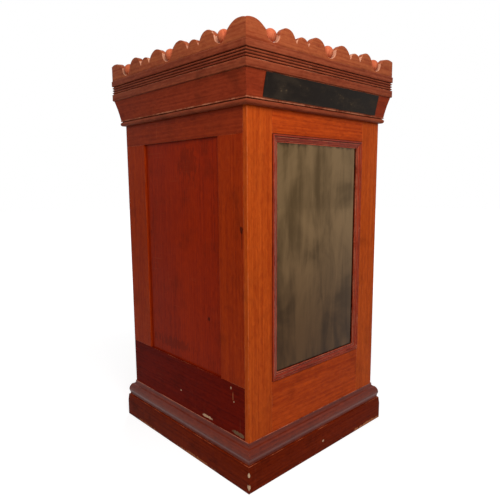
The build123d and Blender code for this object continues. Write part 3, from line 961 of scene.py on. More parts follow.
@dataclass(frozen=True)
class SignPaint:
    """Old black sign paint, dulled and crazed, with brown rubs and a trace of bronze dust."""

    name: str = "sign_paint"
    paint: Colour = srgb(29, 22, 17)
    rubbed: Colour = srgb(74, 62, 50)
    wood: Colour = srgb(150, 72, 40)
    bronze: Colour = srgb(128, 104, 74)
    crack: Colour = srgb(12, 11, 10)

    def material(self, effects: Effects) -> bpy.types.Material:
        """Build the material.

        Args:
            effects: The shared node groups.

        Returns:
            The material.
        """
        material = bpy.data.materials.new(self.name)
        material.use_nodes = True
        graph = Graph(material.node_tree)
        shader = material.node_tree.nodes["Principled BSDF"]
        place = graph.add("ShaderNodeTexCoord").outputs["Object"]
        wear_value = graph.add("ShaderNodeAttribute", attribute_name="wear").outputs["Fac"]
        worn = graph.group(effects.edge_wear, Vector=place, Wear=wear_value, Amount=0.55).outputs["Mask"]
        lines = graph.group(effects.scuffs, Vector=place, Amount=0.9).outputs["Mask"]
        clouds = graph.ramp(graph.noise(place, (22, 22, 40), 5), 0.42, 0.75)
        dust = graph.ramp(graph.noise(place, (150, 150, 260), 4), 0.52, 0.74)
        band = graph.group(
            effects.spot, Vector=place, Centre=(0.0, -0.245, 0.827), Size=(0.16, 0.05, 0.017), Ragged=0.35
        ).outputs["Mask"]
        dusted = graph.math("MULTIPLY", graph.math("MULTIPLY", dust, clouds), band)
        craze = graph.add("ShaderNodeTexVoronoi", feature="DISTANCE_TO_EDGE")
        graph.plug(craze.inputs["Vector"], place)
        craze.inputs["Scale"].default_value = 210.0
        cracks = graph.ramp(craze.outputs["Distance"], 0.0, 0.05, 1.0, 0.0)
        colour = graph.mix(graph.math("MULTIPLY", clouds, 0.35), self.paint, self.rubbed)
        colour = graph.mix(graph.math("MULTIPLY", dusted, 0.55), colour, self.bronze)
        colour = graph.mix(graph.math("MULTIPLY", lines, 0.35), colour, self.rubbed)
        colour = graph.mix(graph.math("MULTIPLY", cracks, 0.25), colour, self.crack)
        colour = graph.mix(worn, colour, self.wood)
        rough = graph.math("MULTIPLY_ADD", clouds, 0.2, 0.42)
        height = graph.math("MULTIPLY_ADD", cracks, -0.5, graph.math("MULTIPLY", dust, 0.25))
        bump = graph.add("ShaderNodeBump")
        bump.inputs["Strength"].default_value = 0.4
        bump.inputs["Distance"].default_value = 0.25 * MM
        graph.plug(bump.inputs["Height"], height)
        graph.plug(shader.inputs["Base Color"], colour)
        graph.plug(shader.inputs["Roughness"], rough)
        graph.plug(shader.inputs["Normal"], bump.outputs["Normal"])
        shader.inputs["Specular IOR Level"].default_value = 0.06
        return material


@dataclass(frozen=True)
class FoxedMirrorPaintedReflection:
    """Silvered glass foxed at its rim, coloured with a painted reflection of a dim room: lighter at the top,
    darker at the bottom, clouded in the middle partly by lost silvering and partly by the painted reflection.
    """

    name: str = "foxed_mirror_painted_reflection"
    painted_reflection_high: Colour = srgb(120, 95, 64)
    painted_reflection_high_cloud: Colour = srgb(84, 64, 38)
    painted_reflection_low: Colour = srgb(78, 55, 33)
    painted_reflection_low_cloud: Colour = srgb(48, 32, 18)
    foxing: Colour = srgb(46, 33, 22)

    def material(self, effects: Effects) -> bpy.types.Material:
        """Build the material.

        Args:
            effects: The shared node groups; not used.

        Returns:
            The material.
        """
        rim_inner, rim_outer = 2 * MM, 14 * MM
        low, high = corners("mirror_glass")
        middle, half = (low + high) / 2, (high - low) / 2
        material = bpy.data.materials.new(self.name)
        material.use_nodes = True
        graph = Graph(material.node_tree)
        shader = material.node_tree.nodes["Principled BSDF"]
        place = graph.add("ShaderNodeTexCoord").outputs["Object"]
        from_middle = graph.vector("ABSOLUTE", graph.vector("SUBTRACT", place, tuple(middle)))
        to_rim = graph.vector("SUBTRACT", tuple(half), from_middle)
        apart = graph.add("ShaderNodeSeparateXYZ")
        graph.plug(apart.inputs[0], to_rim)
        rim = graph.math("MINIMUM", apart.outputs[0], apart.outputs[2])
        ragged = graph.math("MULTIPLY_ADD", graph.noise(place, (60, 60, 60), 6), -0.03, 0.0165)
        foxed = graph.ramp(graph.math("ADD", rim, ragged), rim_inner, rim_outer, 0.75, 0.0)
        # Painted reflection: a lighter tone at the top fades to a darker one at the bottom, broken by streaky
        # clouds that are partly painted reflection and partly lost silvering.
        height = graph.add("ShaderNodeSeparateXYZ")
        graph.plug(height.inputs[0], place)
        rise = graph.ramp(height.outputs[2], float(low[2]), float(high[2]))
        streaks = graph.math("MULTIPLY", graph.noise(place, (34, 34, 5), 4, 0.6), 0.55)
        banks = graph.noise(place, (9, 9, 7), 4, 0.6)
        clouds = graph.ramp(graph.math("MULTIPLY_ADD", banks, 0.6, streaks), 0.44, 0.72)
        specks = graph.ramp(graph.noise(place, (330, 330, 330), 3), 0.68, 0.74)
        lower = graph.mix(clouds, self.painted_reflection_low, self.painted_reflection_low_cloud)
        colour = graph.mix(rise, lower, graph.mix(clouds, self.painted_reflection_high, self.painted_reflection_high_cloud))
        colour = graph.mix(graph.math("MULTIPLY", specks, 0.5), colour, self.foxing)
        colour = graph.mix(foxed, colour, self.foxing)
        rough = graph.math("MULTIPLY_ADD", foxed, 0.35, graph.math("MULTIPLY_ADD", clouds, 0.05, 0.04))
        graph.plug(shader.inputs["Base Color"], colour)
        graph.plug(shader.inputs["Roughness"], rough)
        shader.inputs["Metallic"].default_value = 1.0
        bump = graph.add("ShaderNodeBump")
        bump.inputs["Strength"].default_value = 0.1
        bump.inputs["Distance"].default_value = 0.1 * MM
        graph.plug(bump.inputs["Height"], graph.noise(place, (7, 7, 5), 1))
        graph.plug(shader.inputs["Normal"], bump.outputs["Normal"])
        shader.inputs["Coat Weight"].default_value = 0.04
        shader.inputs["Coat Roughness"].default_value = 0.03
        return material


@dataclass(frozen=True)
class IronPins:
    """Dark iron heads with a little rust."""

    name: str = "iron_pins"

    def material(self, effects: Effects) -> bpy.types.Material:
        """Build the material.

        Args:
            effects: The shared node groups; not used.

        Returns:
            The material.
        """
        material = bpy.data.materials.new(self.name)
        material.use_nodes = True
        graph = Graph(material.node_tree)
        shader = material.node_tree.nodes["Principled BSDF"]
        place = graph.add("ShaderNodeTexCoord").outputs["Object"]
        rust = graph.ramp(graph.noise(place, (900, 900, 900), 4), 0.45, 0.65)
        graph.plug(shader.inputs["Base Color"], graph.mix(rust, srgb(40, 34, 32), srgb(86, 44, 26)))
        graph.plug(shader.inputs["Roughness"], graph.math("MULTIPLY_ADD", rust, 0.3, 0.5))
        shader.inputs["Metallic"].default_value = 0.6
        return material


# Places of the spots: faces of the left flank, the front and the plinth, in millimetres

FLANK_X = -226.0
FRONT_Y = -231.25
PLINTH_X = FLANK_X - 18
PLINTH_Y = FRONT_Y - 18


def on_flank(from_front: float, height: float, out: float = 0.0) -> tuple[float, float, float]:
    """Place on the left flank, measured from the front edge."""
    return (FLANK_X - out, FRONT_Y + from_front, height)


PLINTH_SPOTS = (
    Spot((PLINTH_X, PLINTH_Y, 42.4), (4, 4, 5), CHIP, 0.9),
    Spot((PLINTH_X, PLINTH_Y, 15.4), (5, 5, 7), CHIP, 0.8),
    Spot((-0.8, PLINTH_Y, 25.5), (3.5, 3, 2.6), CHIP, 0.8),
    Spot((192.0, PLINTH_Y, 4.0), (66, 5, 4.5), BARE_EDGE, 0.75, 0.6),
    Spot((PLINTH_X, -60.0, 3.0), (4, 75, 4.5), BARE_EDGE, 0.5, 0.7),
    Spot((PLINTH_X, 150.0, 3.0), (4, 55, 4.0), BARE_EDGE, 0.5, 0.7),
)
FLANK_RAIL_SPOTS = (
    Spot(on_flank(246.2, 138.6), (3, 3.4, 2.2), CHIP, 0.9),
    Spot(on_flank(56.6, 204.1), (3, 1.8, 3.2), CHIP, 0.8),
    Spot(on_flank(50.5, 188.0), (3, 1.0, 11), BARE_EDGE, 0.8, 0.5),
    Spot(on_flank(47.3, 175.4), (3, 1.6, 2.4), CHIP, 0.8),
    Spot(on_flank(142.0, 107.8), (3, 19, 3.6), CHIP, 0.75, 0.6),
    Spot(on_flank(29.0, 107.0), (3, 21, 5.0), srgb(128, 112, 84), 0.6, 0.6),
)
PANEL_SPOTS = (
    Spot(on_flank(203.0, 686.0, -5), (9, 40, 36), srgb(62, 19, 9), 0.3, 0.8),
    Spot(on_flank(135.4, 340.0, -5), (4, 3.6, 4.6), srgb(46, 14, 8), 0.85, 0.25),
    Spot(on_flank(280.0, 250.0, -5), (6, 90, 14), srgb(74, 20, 9), 0.35, 0.9),
)
FINGER_SPOTS = (
    Spot(on_flank(18.1, 548.0), (4, 5.5, 7.5), srgb(44, 12, 7), 0.75, 0.4),
    Spot(on_flank(17.4, 525.0), (4, 2.2, 22), srgb(60, 16, 8), 0.55, 0.5),
)


@dataclass
class Palette:
    """All materials of the cabinet, built once."""

    effects: Effects = field(default_factory=Effects)

    def __post_init__(self) -> None:
        """Build every finish."""
        front = WoodFinish("front_wood", srgb(199, 85, 25), srgb(165, 60, 15))
        # Salmon on the mirror moulding's arrises: partly rubbed finish, partly a painted highlight on its beads
        # and ogee.
        salmon_highlight = srgb(206, 124, 92)
        finishes = {
            "front": front,
            "rail": replace(front, name="rail_wood", light=srgb(194, 75, 21), dark=srgb(157, 53, 14)),
            "moulding": replace(
                front, name="moulding_wood", light=srgb(164, 56, 26), dark=srgb(116, 30, 13),
                wear=0.45, pale_wear_and_highlight=salmon_highlight, grime=0.9, coat=0.12, specular=0.06, roughness=0.3,
            ),
            "flank": replace(
                front, name="flank_wood", light=srgb(167, 55, 11), dark=srgb(137, 37, 6),
                spots=FINGER_SPOTS,
            ),
            "flank_rail": replace(
                front, name="flank_rail_wood", light=srgb(118, 22, 5), dark=srgb(88, 12, 4),
                coat=0.0, specular=0.01, spots=FLANK_RAIL_SPOTS,
            ),
            "flank_head": replace(
                front, name="flank_head_wood", light=srgb(146, 51, 21), dark=srgb(120, 36, 14),
            ),
            "panel": replace(
                front, name="panel_wood", light=srgb(159, 41, 4), dark=srgb(127, 27, 4),
                roughness=0.3, spots=PANEL_SPOTS,
            ),
            "plinth": replace(
                front, name="plinth_wood", light=srgb(124, 38, 10), dark=srgb(92, 23, 5),
                coat=0.0, specular=0.01, wear=0.4, pale_wear_and_highlight=srgb(178, 96, 62), spots=PLINTH_SPOTS, grime=0.8,
            ),
            # The cap's pale arrises are partly rubbed finish and partly a painted highlight on its nose and
            # fillet.
            "cap": replace(
                front, name="cap_wood", light=srgb(122, 44, 21), dark=srgb(89, 25, 10),
                wear=0.42, pale_wear_and_highlight=srgb(196, 112, 82), grime=0.9, coat=0.22, specular=0.06, roughness=0.3,
            ),
            "crown": replace(
                front, name="crown_wood", light=srgb(152, 74, 46), dark=srgb(120, 48, 27),
                wear=0.36, pale_wear_and_highlight=srgb(190, 118, 86), grime=0.9,
            ),
            "frieze": replace(
                front, name="frieze_wood", light=srgb(155, 59, 31), dark=srgb(124, 42, 21),
                wear=0.3, grime=0.8,
            ),
            # The cresting's pale tone on its cut tops is partly bare wood and partly a painted highlight.
            "cresting": replace(
                front, name="cresting_wood", light=srgb(172, 89, 52), dark=srgb(140, 59, 33),
                wear=0.6, pale_wear_and_highlight=srgb(222, 160, 128),
            ),
            "ball": replace(
                front, name="ball_wood", light=srgb(212, 112, 74), dark=srgb(176, 78, 48),
                wear=0.5, pale_wear_and_highlight=srgb(230, 166, 132), ring_spacing=3 * MM,
            ),
            "drawer": replace(front, name="drawer_wood", light=srgb(190, 80, 33), dark=srgb(156, 56, 22)),
            "pine": WoodFinish(
                "bare_pine", srgb(206, 170, 120), srgb(176, 134, 86),
                pale_wear_and_highlight=srgb(216, 188, 144), roughness=0.62, coat=0.0, wear=0.3, grime=0.5, ring_spacing=5 * MM,
            ),
        }
        for letter, grain in (("y", GrainSource.ALONG_Y), ("z", GrainSource.ALONG_Z)):
            finishes[f"pine_{letter}"] = replace(finishes["pine"], name=f"bare_pine_{letter}", grain=grain)
        finishes["sign"] = SignPaint()
        finishes["mirror"] = FoxedMirrorPaintedReflection()
        finishes["iron"] = IronPins()
        self.materials = {key: finish.material(self.effects) for key, finish in finishes.items()}

    def __getitem__(self, key: str) -> bpy.types.Material:
        """The material of a finish."""
        return self.materials[key]


def dress(
    surface: Surface, name: str, material: bpy.types.Material, body: str, nodes: Iterable[str]
) -> bpy.types.Object:
    """Make a piece from its surface, hang it on its body and hide the CAD nodes that it replaces.

    Args:
        surface: The finished surface.
        name: The piece's name.
        material: Its material.
        body: The body that it moves with.
        nodes: CAD nodes that it replaces.

    Returns:
        The piece.
    """
    piece = surface.build(name)
    piece.data.materials.append(material)
    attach(piece, body)
    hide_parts(*nodes)
    log.info("%s: %d faces", name, len(piece.data.polygons))
    return piece


def keep(material: bpy.types.Material, *nodes: str) -> None:
    """Give CAD nodes that keep their own mesh a better material."""
    for node in nodes:
        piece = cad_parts[node]
        piece.data.materials.clear()
        piece.data.materials.append(material)


# Sub-assemblies

@dataclass(frozen=True)
class FriezeFace:
    """The hollow face of the frieze, in millimetres above the floor and out of the case."""

    low: float = 802.2
    high: float = 850.8
    foot_reach: float = 8.6
    head_reach: float = 19.6
    hollow: float = 0.8

    def points(self, count: int) -> list[Pair]:
        """Points of its arc from the foot to the head."""
        middle = ((self.foot_reach + self.head_reach) / 2 - self.hollow, (self.low + self.high) / 2)
        return through_three((self.foot_reach, self.low), middle, (self.head_reach, self.high), count)


@dataclass
class Mouldings:
    """Plinth, base cap, bead, frieze and crown, all in millimetres round the case."""

    case: Case
    palette: Palette
    frieze: FriezeFace = FriezeFace()
    plinth_top: float = 59.5
    cap_top: float = 99.5
    face_top: float = 788.0
    crown_top: float = 900.0
    plinth_reach: float = 18.1
    plinth_slope: float = 1.9
    slope_height: float = 17.5
    cap_fillet: float = 1.6
    cap_fillet_height: float = 3.0
    cap_hollow_reach: float = 8.6
    cap_hollow_height: float = 6.8
    cap_nose_reach: float = 15.4
    cap_nose_drop: float = 27.0
    cap_quirk_depth: float = 2.4
    cap_quirk_height: float = 4.5
    bead_reach: float = 10.0
    bead_foot: float = 5.0
    bead_root: float = 6.0
    bead_quirk_height: float = 1.2
    bead_fillet_reach: float = 9.2
    bead_fillet_height: float = 2.6
    fascia_reach: float = 22.6
    fascia_height: float = 16.2
    fascia_round: float = 2.0
    reed_count: int = 3
    reed_width: float = 4.0
    reed_gap: float = 1.8
    reed_reach: float = 21.9
    reed_root: float = 19.4
    lip_reach: float = 23.0
    lip_round: float = 1.4
    lip_bevel: float = 0.4

    def plinth_section(self) -> np.ndarray:
        """Upright board with a sloped top band."""
        slope_foot = self.plinth_top - self.slope_height
        face = [(self.plinth_reach, height) for height in np.linspace(0, slope_foot, 4)]
        outline = [(0, 0), *face, (self.plinth_reach - self.plinth_slope, self.plinth_top), (0, self.plinth_top)]
        return rounded_section(outline, 1.1) * MM

    def cap_section(self) -> np.ndarray:
        """Quirk, rounded nose, hollow and fillet."""
        hollow_top = self.cap_top - self.cap_fillet_height
        bend = (self.cap_hollow_reach, hollow_top - self.cap_hollow_height)
        hollow = tangent_arc((self.cap_fillet, hollow_top), bend, (0, -1), 9)
        nose = tangent_arc((self.cap_nose_reach, self.cap_top - self.cap_nose_drop), bend, (0, 1), 12)[::-1]
        quirk = self.cap_nose_reach - self.cap_quirk_depth
        outline = [(quirk, self.plinth_top), (0, self.plinth_top), (0, self.cap_top)]
        outline += [(self.cap_fillet, self.cap_top), *hollow, *nose[1:]]
        outline += [(quirk, self.plinth_top + self.cap_quirk_height)]
        return rounded_section(outline, 0.6) * MM

    def bead_section(self) -> np.ndarray:
        """Round bead under a quirk and a fillet."""
        top, fillet = self.frieze.low, self.bead_fillet_reach
        low = top - self.bead_fillet_height
        high = low - self.bead_quirk_height
        outline = [(0, self.face_top), (0, top), (fillet, top), (fillet, low), (self.bead_root, low)]
        bulge = (self.bead_reach, (self.face_top + high) / 2)
        outline += through_three((self.bead_root, high), bulge, (self.bead_foot, self.face_top), 12)
        return rounded_section(outline, 0.5) * MM

    def frieze_section(self) -> np.ndarray:
        """Hollow face that leans outwards."""
        return rounded_section([*self.frieze.points(9), (0, self.frieze.high), (0, self.frieze.low)], 0.5) * MM

    def crown_section(self) -> np.ndarray:
        """Fascia, three reeds and a rounded lip."""
        foot, reach, root = self.frieze.high, self.fascia_reach, self.reed_root
        height = foot + self.fascia_height
        outline = [(0, self.crown_top), (0, foot)]
        outline += tangent_arc((reach - self.fascia_round, foot), (reach, foot + self.fascia_round), (1, 0), 5)
        outline += [(reach, height), (root, height)]
        for _ in range(self.reed_count):
            low, high = height + self.reed_gap, height + self.reed_gap + self.reed_width
            outline += through_three((root, low), (self.reed_reach, (low + high) / 2), (root, high), 8)
            height = high
        low = height + self.reed_gap
        lip = (
            (self.lip_reach - self.lip_round, 0), (self.lip_reach - self.lip_bevel, self.lip_bevel),
            (self.lip_reach, self.lip_round),
        )
        outline += [(root, low), *((out, low + rise) for out, rise in lip)]
        outline += [(out, self.crown_top - rise) for out, rise in lip[::-1]]
        return rounded_section(outline, 0.45) * MM

    def ring(self, section: np.ndarray, seed: int) -> Surface:
        """Four mitred lengths of a section round the case."""
        tracks = [self.case.track(wall) for wall in Wall]
        return Surface.joined([carried(section, track, seed + index) for index, track in enumerate(tracks)])

    def build(self) -> None:
        """Make all five rings."""
        for name, section, finish, slot, seed in (
            ("plinth_boards", self.plinth_section(), "plinth", "plinth_wood", 11),
            ("base_cap", self.cap_section(), "cap", "plinth_wood", 21),
            ("bead_moulding", self.bead_section(), "crown", "crown_wood", 31),
            ("frieze_boards", self.frieze_section(), "frieze", "crown_wood", 41),
            ("crown_moulding", self.crown_section(), "crown", "crown_wood", 51),
        ):
            dress(self.ring(section, seed), f"{name}_worn", self.palette[finish], CASE, [name])


@dataclass
class SignBoard:
    """The thin black board on the frieze."""

    case: Case
    palette: Palette
    frieze: FriezeFace = FriezeFace()
    margin: float = 33.0
    thickness: float = 1.5
    gap: float = 0.6
    glue_line: float = 0.1

    def build(self) -> None:
        """Carry the curved plate's section along the front."""
        arc_points = np.array(self.frieze.points(25))
        heights = np.linspace(self.frieze.low + self.gap, self.frieze.high - self.gap, 12)
        reach = np.interp(heights, arc_points[:, 1], arc_points[:, 0]) + self.glue_line
        front = np.stack([reach + self.thickness, heights], axis=1)
        back = np.stack([reach, heights], axis=1)[::-1]
        section = rounded_section([tuple(point) for point in np.concatenate([front, back])], 0.5) * MM
        track = self.case.track(Wall.FRONT, 0.0, self.margin * MM)
        surface = carried(section, track, 61)
        dress(surface, "sign_board_painted", self.palette["sign"], CASE, ["sign_board"])


@dataclass
class Cresting:
    """Scalloped boards with vee cuts, and a ball in every deep notch."""

    case: Case
    palette: Palette
    crown_top: float = 900.0
    height: float = 38.0
    reach: float = 21.4
    thickness: float = 12.6
    cove: float = 19.5
    foot: float = 5.0
    small_scallop_width: float = 36.6
    small_scallop_height: float = 30.0
    small_scallop_shift: float = 3.0
    vee_half: float = 6.0
    vee_foot: float = 15.0
    vee_shoulder: float = 26.0
    corner_peak: Pair = (16.0, 39.2)
    corner_height: float = 36.2
    ball_radius: float = 13.3
    ball_height: float = 918.5
    ball_inset: float = 50.5
    ball_setback: float = 3.5
    arris: float = 1.1
    hairline: float = 0.05

    def outline(self, half: float) -> tuple[np.ndarray, np.ndarray]:
        """Top edge of half a board: coves, scallops, vee cuts and a dome at the corner.

        Args:
            half: Half of the wall's length.

        Returns:
            Pairs of distance from the middle and height above the crown, and a number
            from 0 to 1 for each that says how pale the top is painted there: partly bare sawn wood,
            partly a painted highlight where the light falls on the cut.
        """
        bay = half - self.ball_inset
        corner = half + self.reach
        shoulder = self.foot + self.cove
        middle = bay / 2 + self.small_scallop_shift
        near, far = middle - self.small_scallop_width / 2, middle + self.small_scallop_width / 2
        near_end, far_start = near - self.vee_half, far + self.vee_half
        near_middle, far_middle = (self.cove + near_end) / 2, (far_start + bay - self.cove) / 2
        ledge = self.vee_shoulder

        def cove_wall(centre: float, side: int) -> list[Pair]:
            """Quarter circle from the foot of a cove up to its shoulder."""
            return arc((centre, shoulder), self.cove, -90, -90 + side * 90, 12)

        def vee(centre: float) -> list[Pair]:
            """Both walls of a vee cut."""
            deep = ledge - self.vee_foot
            return [(centre + self.vee_half * t, self.vee_foot + deep * abs(t)) for t in (-1, -0.5, 0, 0.5, 1)]

        small_peak = (middle, self.small_scallop_height)
        peak = (corner - self.corner_peak[0], self.corner_peak[1])
        # The second number of each run sets how pale its top is painted: partly bare sawn wood, partly a painted
        # highlight.
        runs = [
            (cove_wall(0, 1), 1.0),
            (through_three((self.cove, shoulder), (near_middle, self.height), (near_end, ledge), 24), 0.3),
            (vee(near), 1.0),
            (through_three((near + self.vee_half, ledge), small_peak, (far - self.vee_half, ledge), 12), 0.3),
            (vee(far), 1.0),
            (through_three((far_start, ledge), (far_middle, self.height), (bay - self.cove, shoulder), 24), 0.3),
            (cove_wall(bay, -1)[::-1], 1.0),
            (cove_wall(bay, 1), 1.0),
            (through_three((bay + self.cove, shoulder), peak, (corner, self.corner_height), 30), 0.3),
        ]
        points = [runs[0][0][0]]
        raw = [1.0]
        for run_points, sawn_and_lit in runs:
            points.extend(run_points[1:])
            raw.extend([sawn_and_lit] * (len(run_points) - 1))
        return np.array(points, float), np.array(raw)

    def board(self, wall: Wall, seed: int) -> Surface:
        """One board of the cresting.

        At every station along the outline the section is a rectangle up to the outline's
        height with both top arrises rounded; past the last notch the stations stretch with
        the reach, which makes the mitres.

        Args:
            wall: Which wall.
            seed: Picks the wobble and the cut of wood.

        Returns:
            The closed surface.
        """
        half = self.case.half_length(wall) / MM
        right, sawn_and_lit_right = self.outline(half)
        outline = np.concatenate([(right * [-1, 1])[:0:-1], right])
        raw = np.concatenate([sawn_and_lit_right[:0:-1], sawn_and_lit_right])
        station, top = outline[:, 0], outline[:, 1]
        ripple, wavelength = 0.3, 23 * MM
        wave = wobble(np.stack([station, top * 0, top * 0], axis=1) * MM, wavelength, seed)
        top = top + (wave - 1) * ripple
        rise = np.linspace(0, 1, 7)[:-1]
        turn = np.radians(np.linspace(0, 90, 4))
        inner, outer = self.reach - self.thickness, self.reach
        faces_up = [(outer, part, 0.0) for part in rise]
        quarter = [(self.arris * (1 - math.cos(a)), self.arris * (1 - math.sin(a))) for a in turn]
        arris_out = [(outer - aside, 1.0, below) for aside, below in quarter]
        flat = [(outer - self.thickness * part, 1.0, 0.0) for part in (0.3, 0.5, 0.7)]
        arris_in = [(inner + aside, 1.0, below) for aside, below in quarter[::-1]]
        faces_down = [(inner, part, 0.0) for part in rise[::-1]]
        loop = faces_up + arris_out + flat + arris_in + faces_down
        reach = np.array([point[0] for point in loop])
        part = np.array([point[1] for point in loop])
        drop = np.array([point[2] for point in loop])
        height = part[None, :] * (top[:, None] - (part[None, :] < 1) * self.arris) - drop[None, :]
        height = np.maximum(height, 0)
        bay = half - self.ball_inset + self.cove
        beyond = np.clip((np.abs(station) - bay) / (half + self.reach - bay), 0, 1)
        mitre_end = half - self.hairline + reach[None, :] - bay
        along = np.sign(station)[:, None] * (
            np.minimum(np.abs(station), bay)[:, None] + beyond[:, None] * mitre_end
        )
        track = self.case.track(wall)
        points = (
            track.middle
            + along[..., None] * MM * track.along
            + (reach[None, :, None] * MM) * track.aside
            + (self.crown_top + height)[..., None] * MM * track.upward
        )
        rows, columns = along.shape
        faces = grid_faces(rows, columns, closed=True)
        faces.append(tuple(range(columns))[::-1])
        faces.append(tuple((rows - 1) * columns + index for index in range(columns)))
        count_up, count_arris = len(faces_up), len(arris_out)
        on_arris = np.zeros(columns)
        on_arris[count_up : count_up + count_arris] = 0.5
        on_arris[count_up + count_arris + len(flat) : count_up + 2 * count_arris + len(flat)] = 0.5
        on_top = np.zeros(columns)
        on_top[count_up + 1 : count_up + 2 * count_arris + len(flat) - 1] = 1.0
        # The top faces of the cuts take the pale colour: partly bare sawn wood, partly a painted highlight where
        # the light falls on them.
        wear = np.clip(np.maximum(on_arris[None, :], on_top[None, :] * raw[:, None] * 0.95), 0, 1)
        recess = np.zeros(along.shape)
        recess[:, 0] = 1.0
        recess[:, -1] = 1.0
        grain = np.stack([along, np.broadcast_to(reach, along.shape), height], axis=-1) * MM + cut_of_wood(seed)
        grain = grain.reshape(-1, 3)
        return Surface(points.reshape(-1, 3), faces, grain, wear.ravel(), recess.ravel()).outwards()

    def ball(self, centre: np.ndarray, seed: int) -> Surface:
        """A turned ball whose axis leans a little, each its own way."""
        lean = 0.15
        angle = np.radians(np.linspace(-90, 90, 25))
        radius = self.ball_radius * np.cos(angle)
        height = self.ball_radius * np.sin(angle)
        radius[0] = radius[-1] = 0.0
        rng = np.random.default_rng(seed)
        tilt = np.array([rng.uniform(-lean, lean), rng.uniform(-lean, lean), 1.0])
        return turned(np.stack([radius, height], axis=1) * MM, centre, tilt, seed, 36)

    def build(self) -> None:
        """Make the four boards and the twelve balls."""
        balls = []
        for index, wall in enumerate(Wall):
            name = f"cresting_{wall.name.lower()}"
            cresting = self.palette["cresting"]
            dress(self.board(wall, 71 + index), f"{name}_scalloped", cresting, CASE, [name])
            bay = self.case.half_length(wall) - self.ball_inset * MM
            for place in (-bay, 0.0, bay):
                track = self.case.track(wall)
                out = (self.reach - self.thickness / 2 - self.ball_setback) * MM
                seat = track.middle + track.along * place + track.aside * out
                centre = seat + track.upward * self.ball_height * MM
                balls.append(self.ball(centre, 81 + len(balls)))
        finish = self.palette["ball"]
        dress(Surface.joined(balls), "cresting_balls_turned", finish, CASE, ["cresting_balls"])


@dataclass
class FrontFrame:
    """Stiles and rails of the customer's side."""

    palette: Palette

    def build(self) -> None:
        """Make the four boards and dress the pins."""
        half_opening = float(corners("mirror_moulding")[1][0])
        for index, side in enumerate(("left", "right")):
            node = f"front_stile_{side}"
            stile = board(*corners(node), Axis.Z, 101 + index, 0.9 * MM, 30)
            dress(stile, f"{node}_board", self.palette["front"], CASE, [node])
        for index, level in enumerate(("bottom", "top")):
            node = f"front_rail_{level}"
            low, high = corners(node)
            low[0], high[0] = -half_opening, half_opening
            rail = board(low, high, Axis.X, 105 + index, 0.35 * MM, 20)
            dress(rail, f"{node}_board", self.palette["rail"], CASE, [node])
        keep(self.palette["iron"], "frame_pins")


@dataclass
class MirrorFrame:
    """The moulding round the mirror, in millimetres, and the mirror."""

    case: Case
    palette: Palette
    width: float = 17.0
    quirk: float = 1.4
    quirk_depth: float = 1.6
    bead_width: float = 4.0
    bead_proud: float = 2.4
    bead_gap: float = 1.2
    ogee_proud: float = 0.9
    ogee_width: float = 7.0
    lip_depth: float = 2.6
    rebate: float = 6.0
    glass_depth: float = 6.6
    frame_thickness: float = 12.6

    def section(self) -> np.ndarray:
        """Quirk, bead, groove, ogee and lip: inwards from the opening's edge, out of the face."""
        blend = np.linspace(0, 1, 14)
        smooth = blend * blend * (3 - 2 * blend)
        top, foot = self.ogee_proud, self.bead_gap - self.lip_depth
        across = self.ogee_start + self.ogee_width * blend
        ogee = list(zip(across, top + (foot - top) * smooth))
        rebate, back, floor = self.width - self.rebate, -self.frame_thickness, -self.quirk_depth
        outline = [(rebate, back), (0, back), (0, floor), (self.quirk, floor)]
        bead_middle, bead_end = self.quirk + self.bead_width / 2, self.quirk + self.bead_width
        outline += through_three((self.quirk, 0), (bead_middle, self.bead_proud), (bead_end, 0), 12)
        outline += [(bead_end, floor), (self.ogee_start, floor), *ogee]
        outline += [(self.ogee_start + self.ogee_width, -self.lip_depth), (self.width, -self.lip_depth)]
        outline += [(self.width, -self.glass_depth), (rebate, -self.glass_depth)]
        return rounded_section(outline, 0.4) * MM

    @property
    def ogee_start(self) -> float:
        """Where the ogee begins, inwards of the quirk, the bead and the gap."""
        return self.quirk + self.bead_width + self.bead_gap

    def build(self) -> None:
        """Make four mitred lengths and the glass."""
        low, high = corners("mirror_moulding")
        face = -self.case.half_depth
        middle = np.array([0, face, (low[2] + high[2]) / 2])
        half_x, half_z = high[0], (high[2] - low[2]) / 2
        out = np.array([0, -1.0, 0])
        across, up = np.array([1.0, 0, 0]), np.array([0, 0, 1.0])
        lengths = []
        for index, (along, inwards, half, distance) in enumerate((
            (across, up, half_x, half_z), (across, -up, half_x, half_z),
            (up, across, half_z, half_x), (up, -across, half_z, half_x),
        )):
            track = Track(middle - inwards * distance, along, inwards, out, float(half), -1.0)
            lengths.append(carried(self.section(), track, 111 + index))
        moulding, silvered = self.palette["moulding"], self.palette["mirror"]
        dress(Surface.joined(lengths), "mirror_moulding_worn", moulding, CASE, ["mirror_moulding"])
        glass = board(*corners("mirror_glass"), Axis.Z, 117, 0.3 * MM, 24)
        dress(glass, "mirror_glass_foxed_painted_reflection", silvered, CASE, ["mirror_glass"])
        keep(self.palette["pine_z"], "mirror_backboard")


@dataclass
class Flank:
    """Frame and panel of one flank."""

    palette: Palette
    side: str
    seed: int

    def build(self) -> None:
        """Make four frame boards and the panel."""
        panel_low = corners(f"{self.side}_rail_bottom")[1][2]
        panel_high = corners(f"{self.side}_rail_top")[0][2]
        for index, (node, axis, finish) in enumerate((
            ("rail_bottom", Axis.Y, "flank_rail"), ("rail_top", Axis.Y, "flank_head"),
            ("stile_front", Axis.Z, "flank"), ("stile_back", Axis.Z, "flank"), ("panel", Axis.Z, "panel"),
        )):
            name = f"{self.side}_{node}"
            low, high = corners(name)
            if node.startswith("stile"):
                low[2], high[2] = panel_low, panel_high
            arris = (0.5 if node == "panel" else 0.4) * MM
            surface = board(low, high, axis, self.seed + index, arris, 26)
            dress(surface, f"{name}_board", self.palette[finish], CASE, [name])


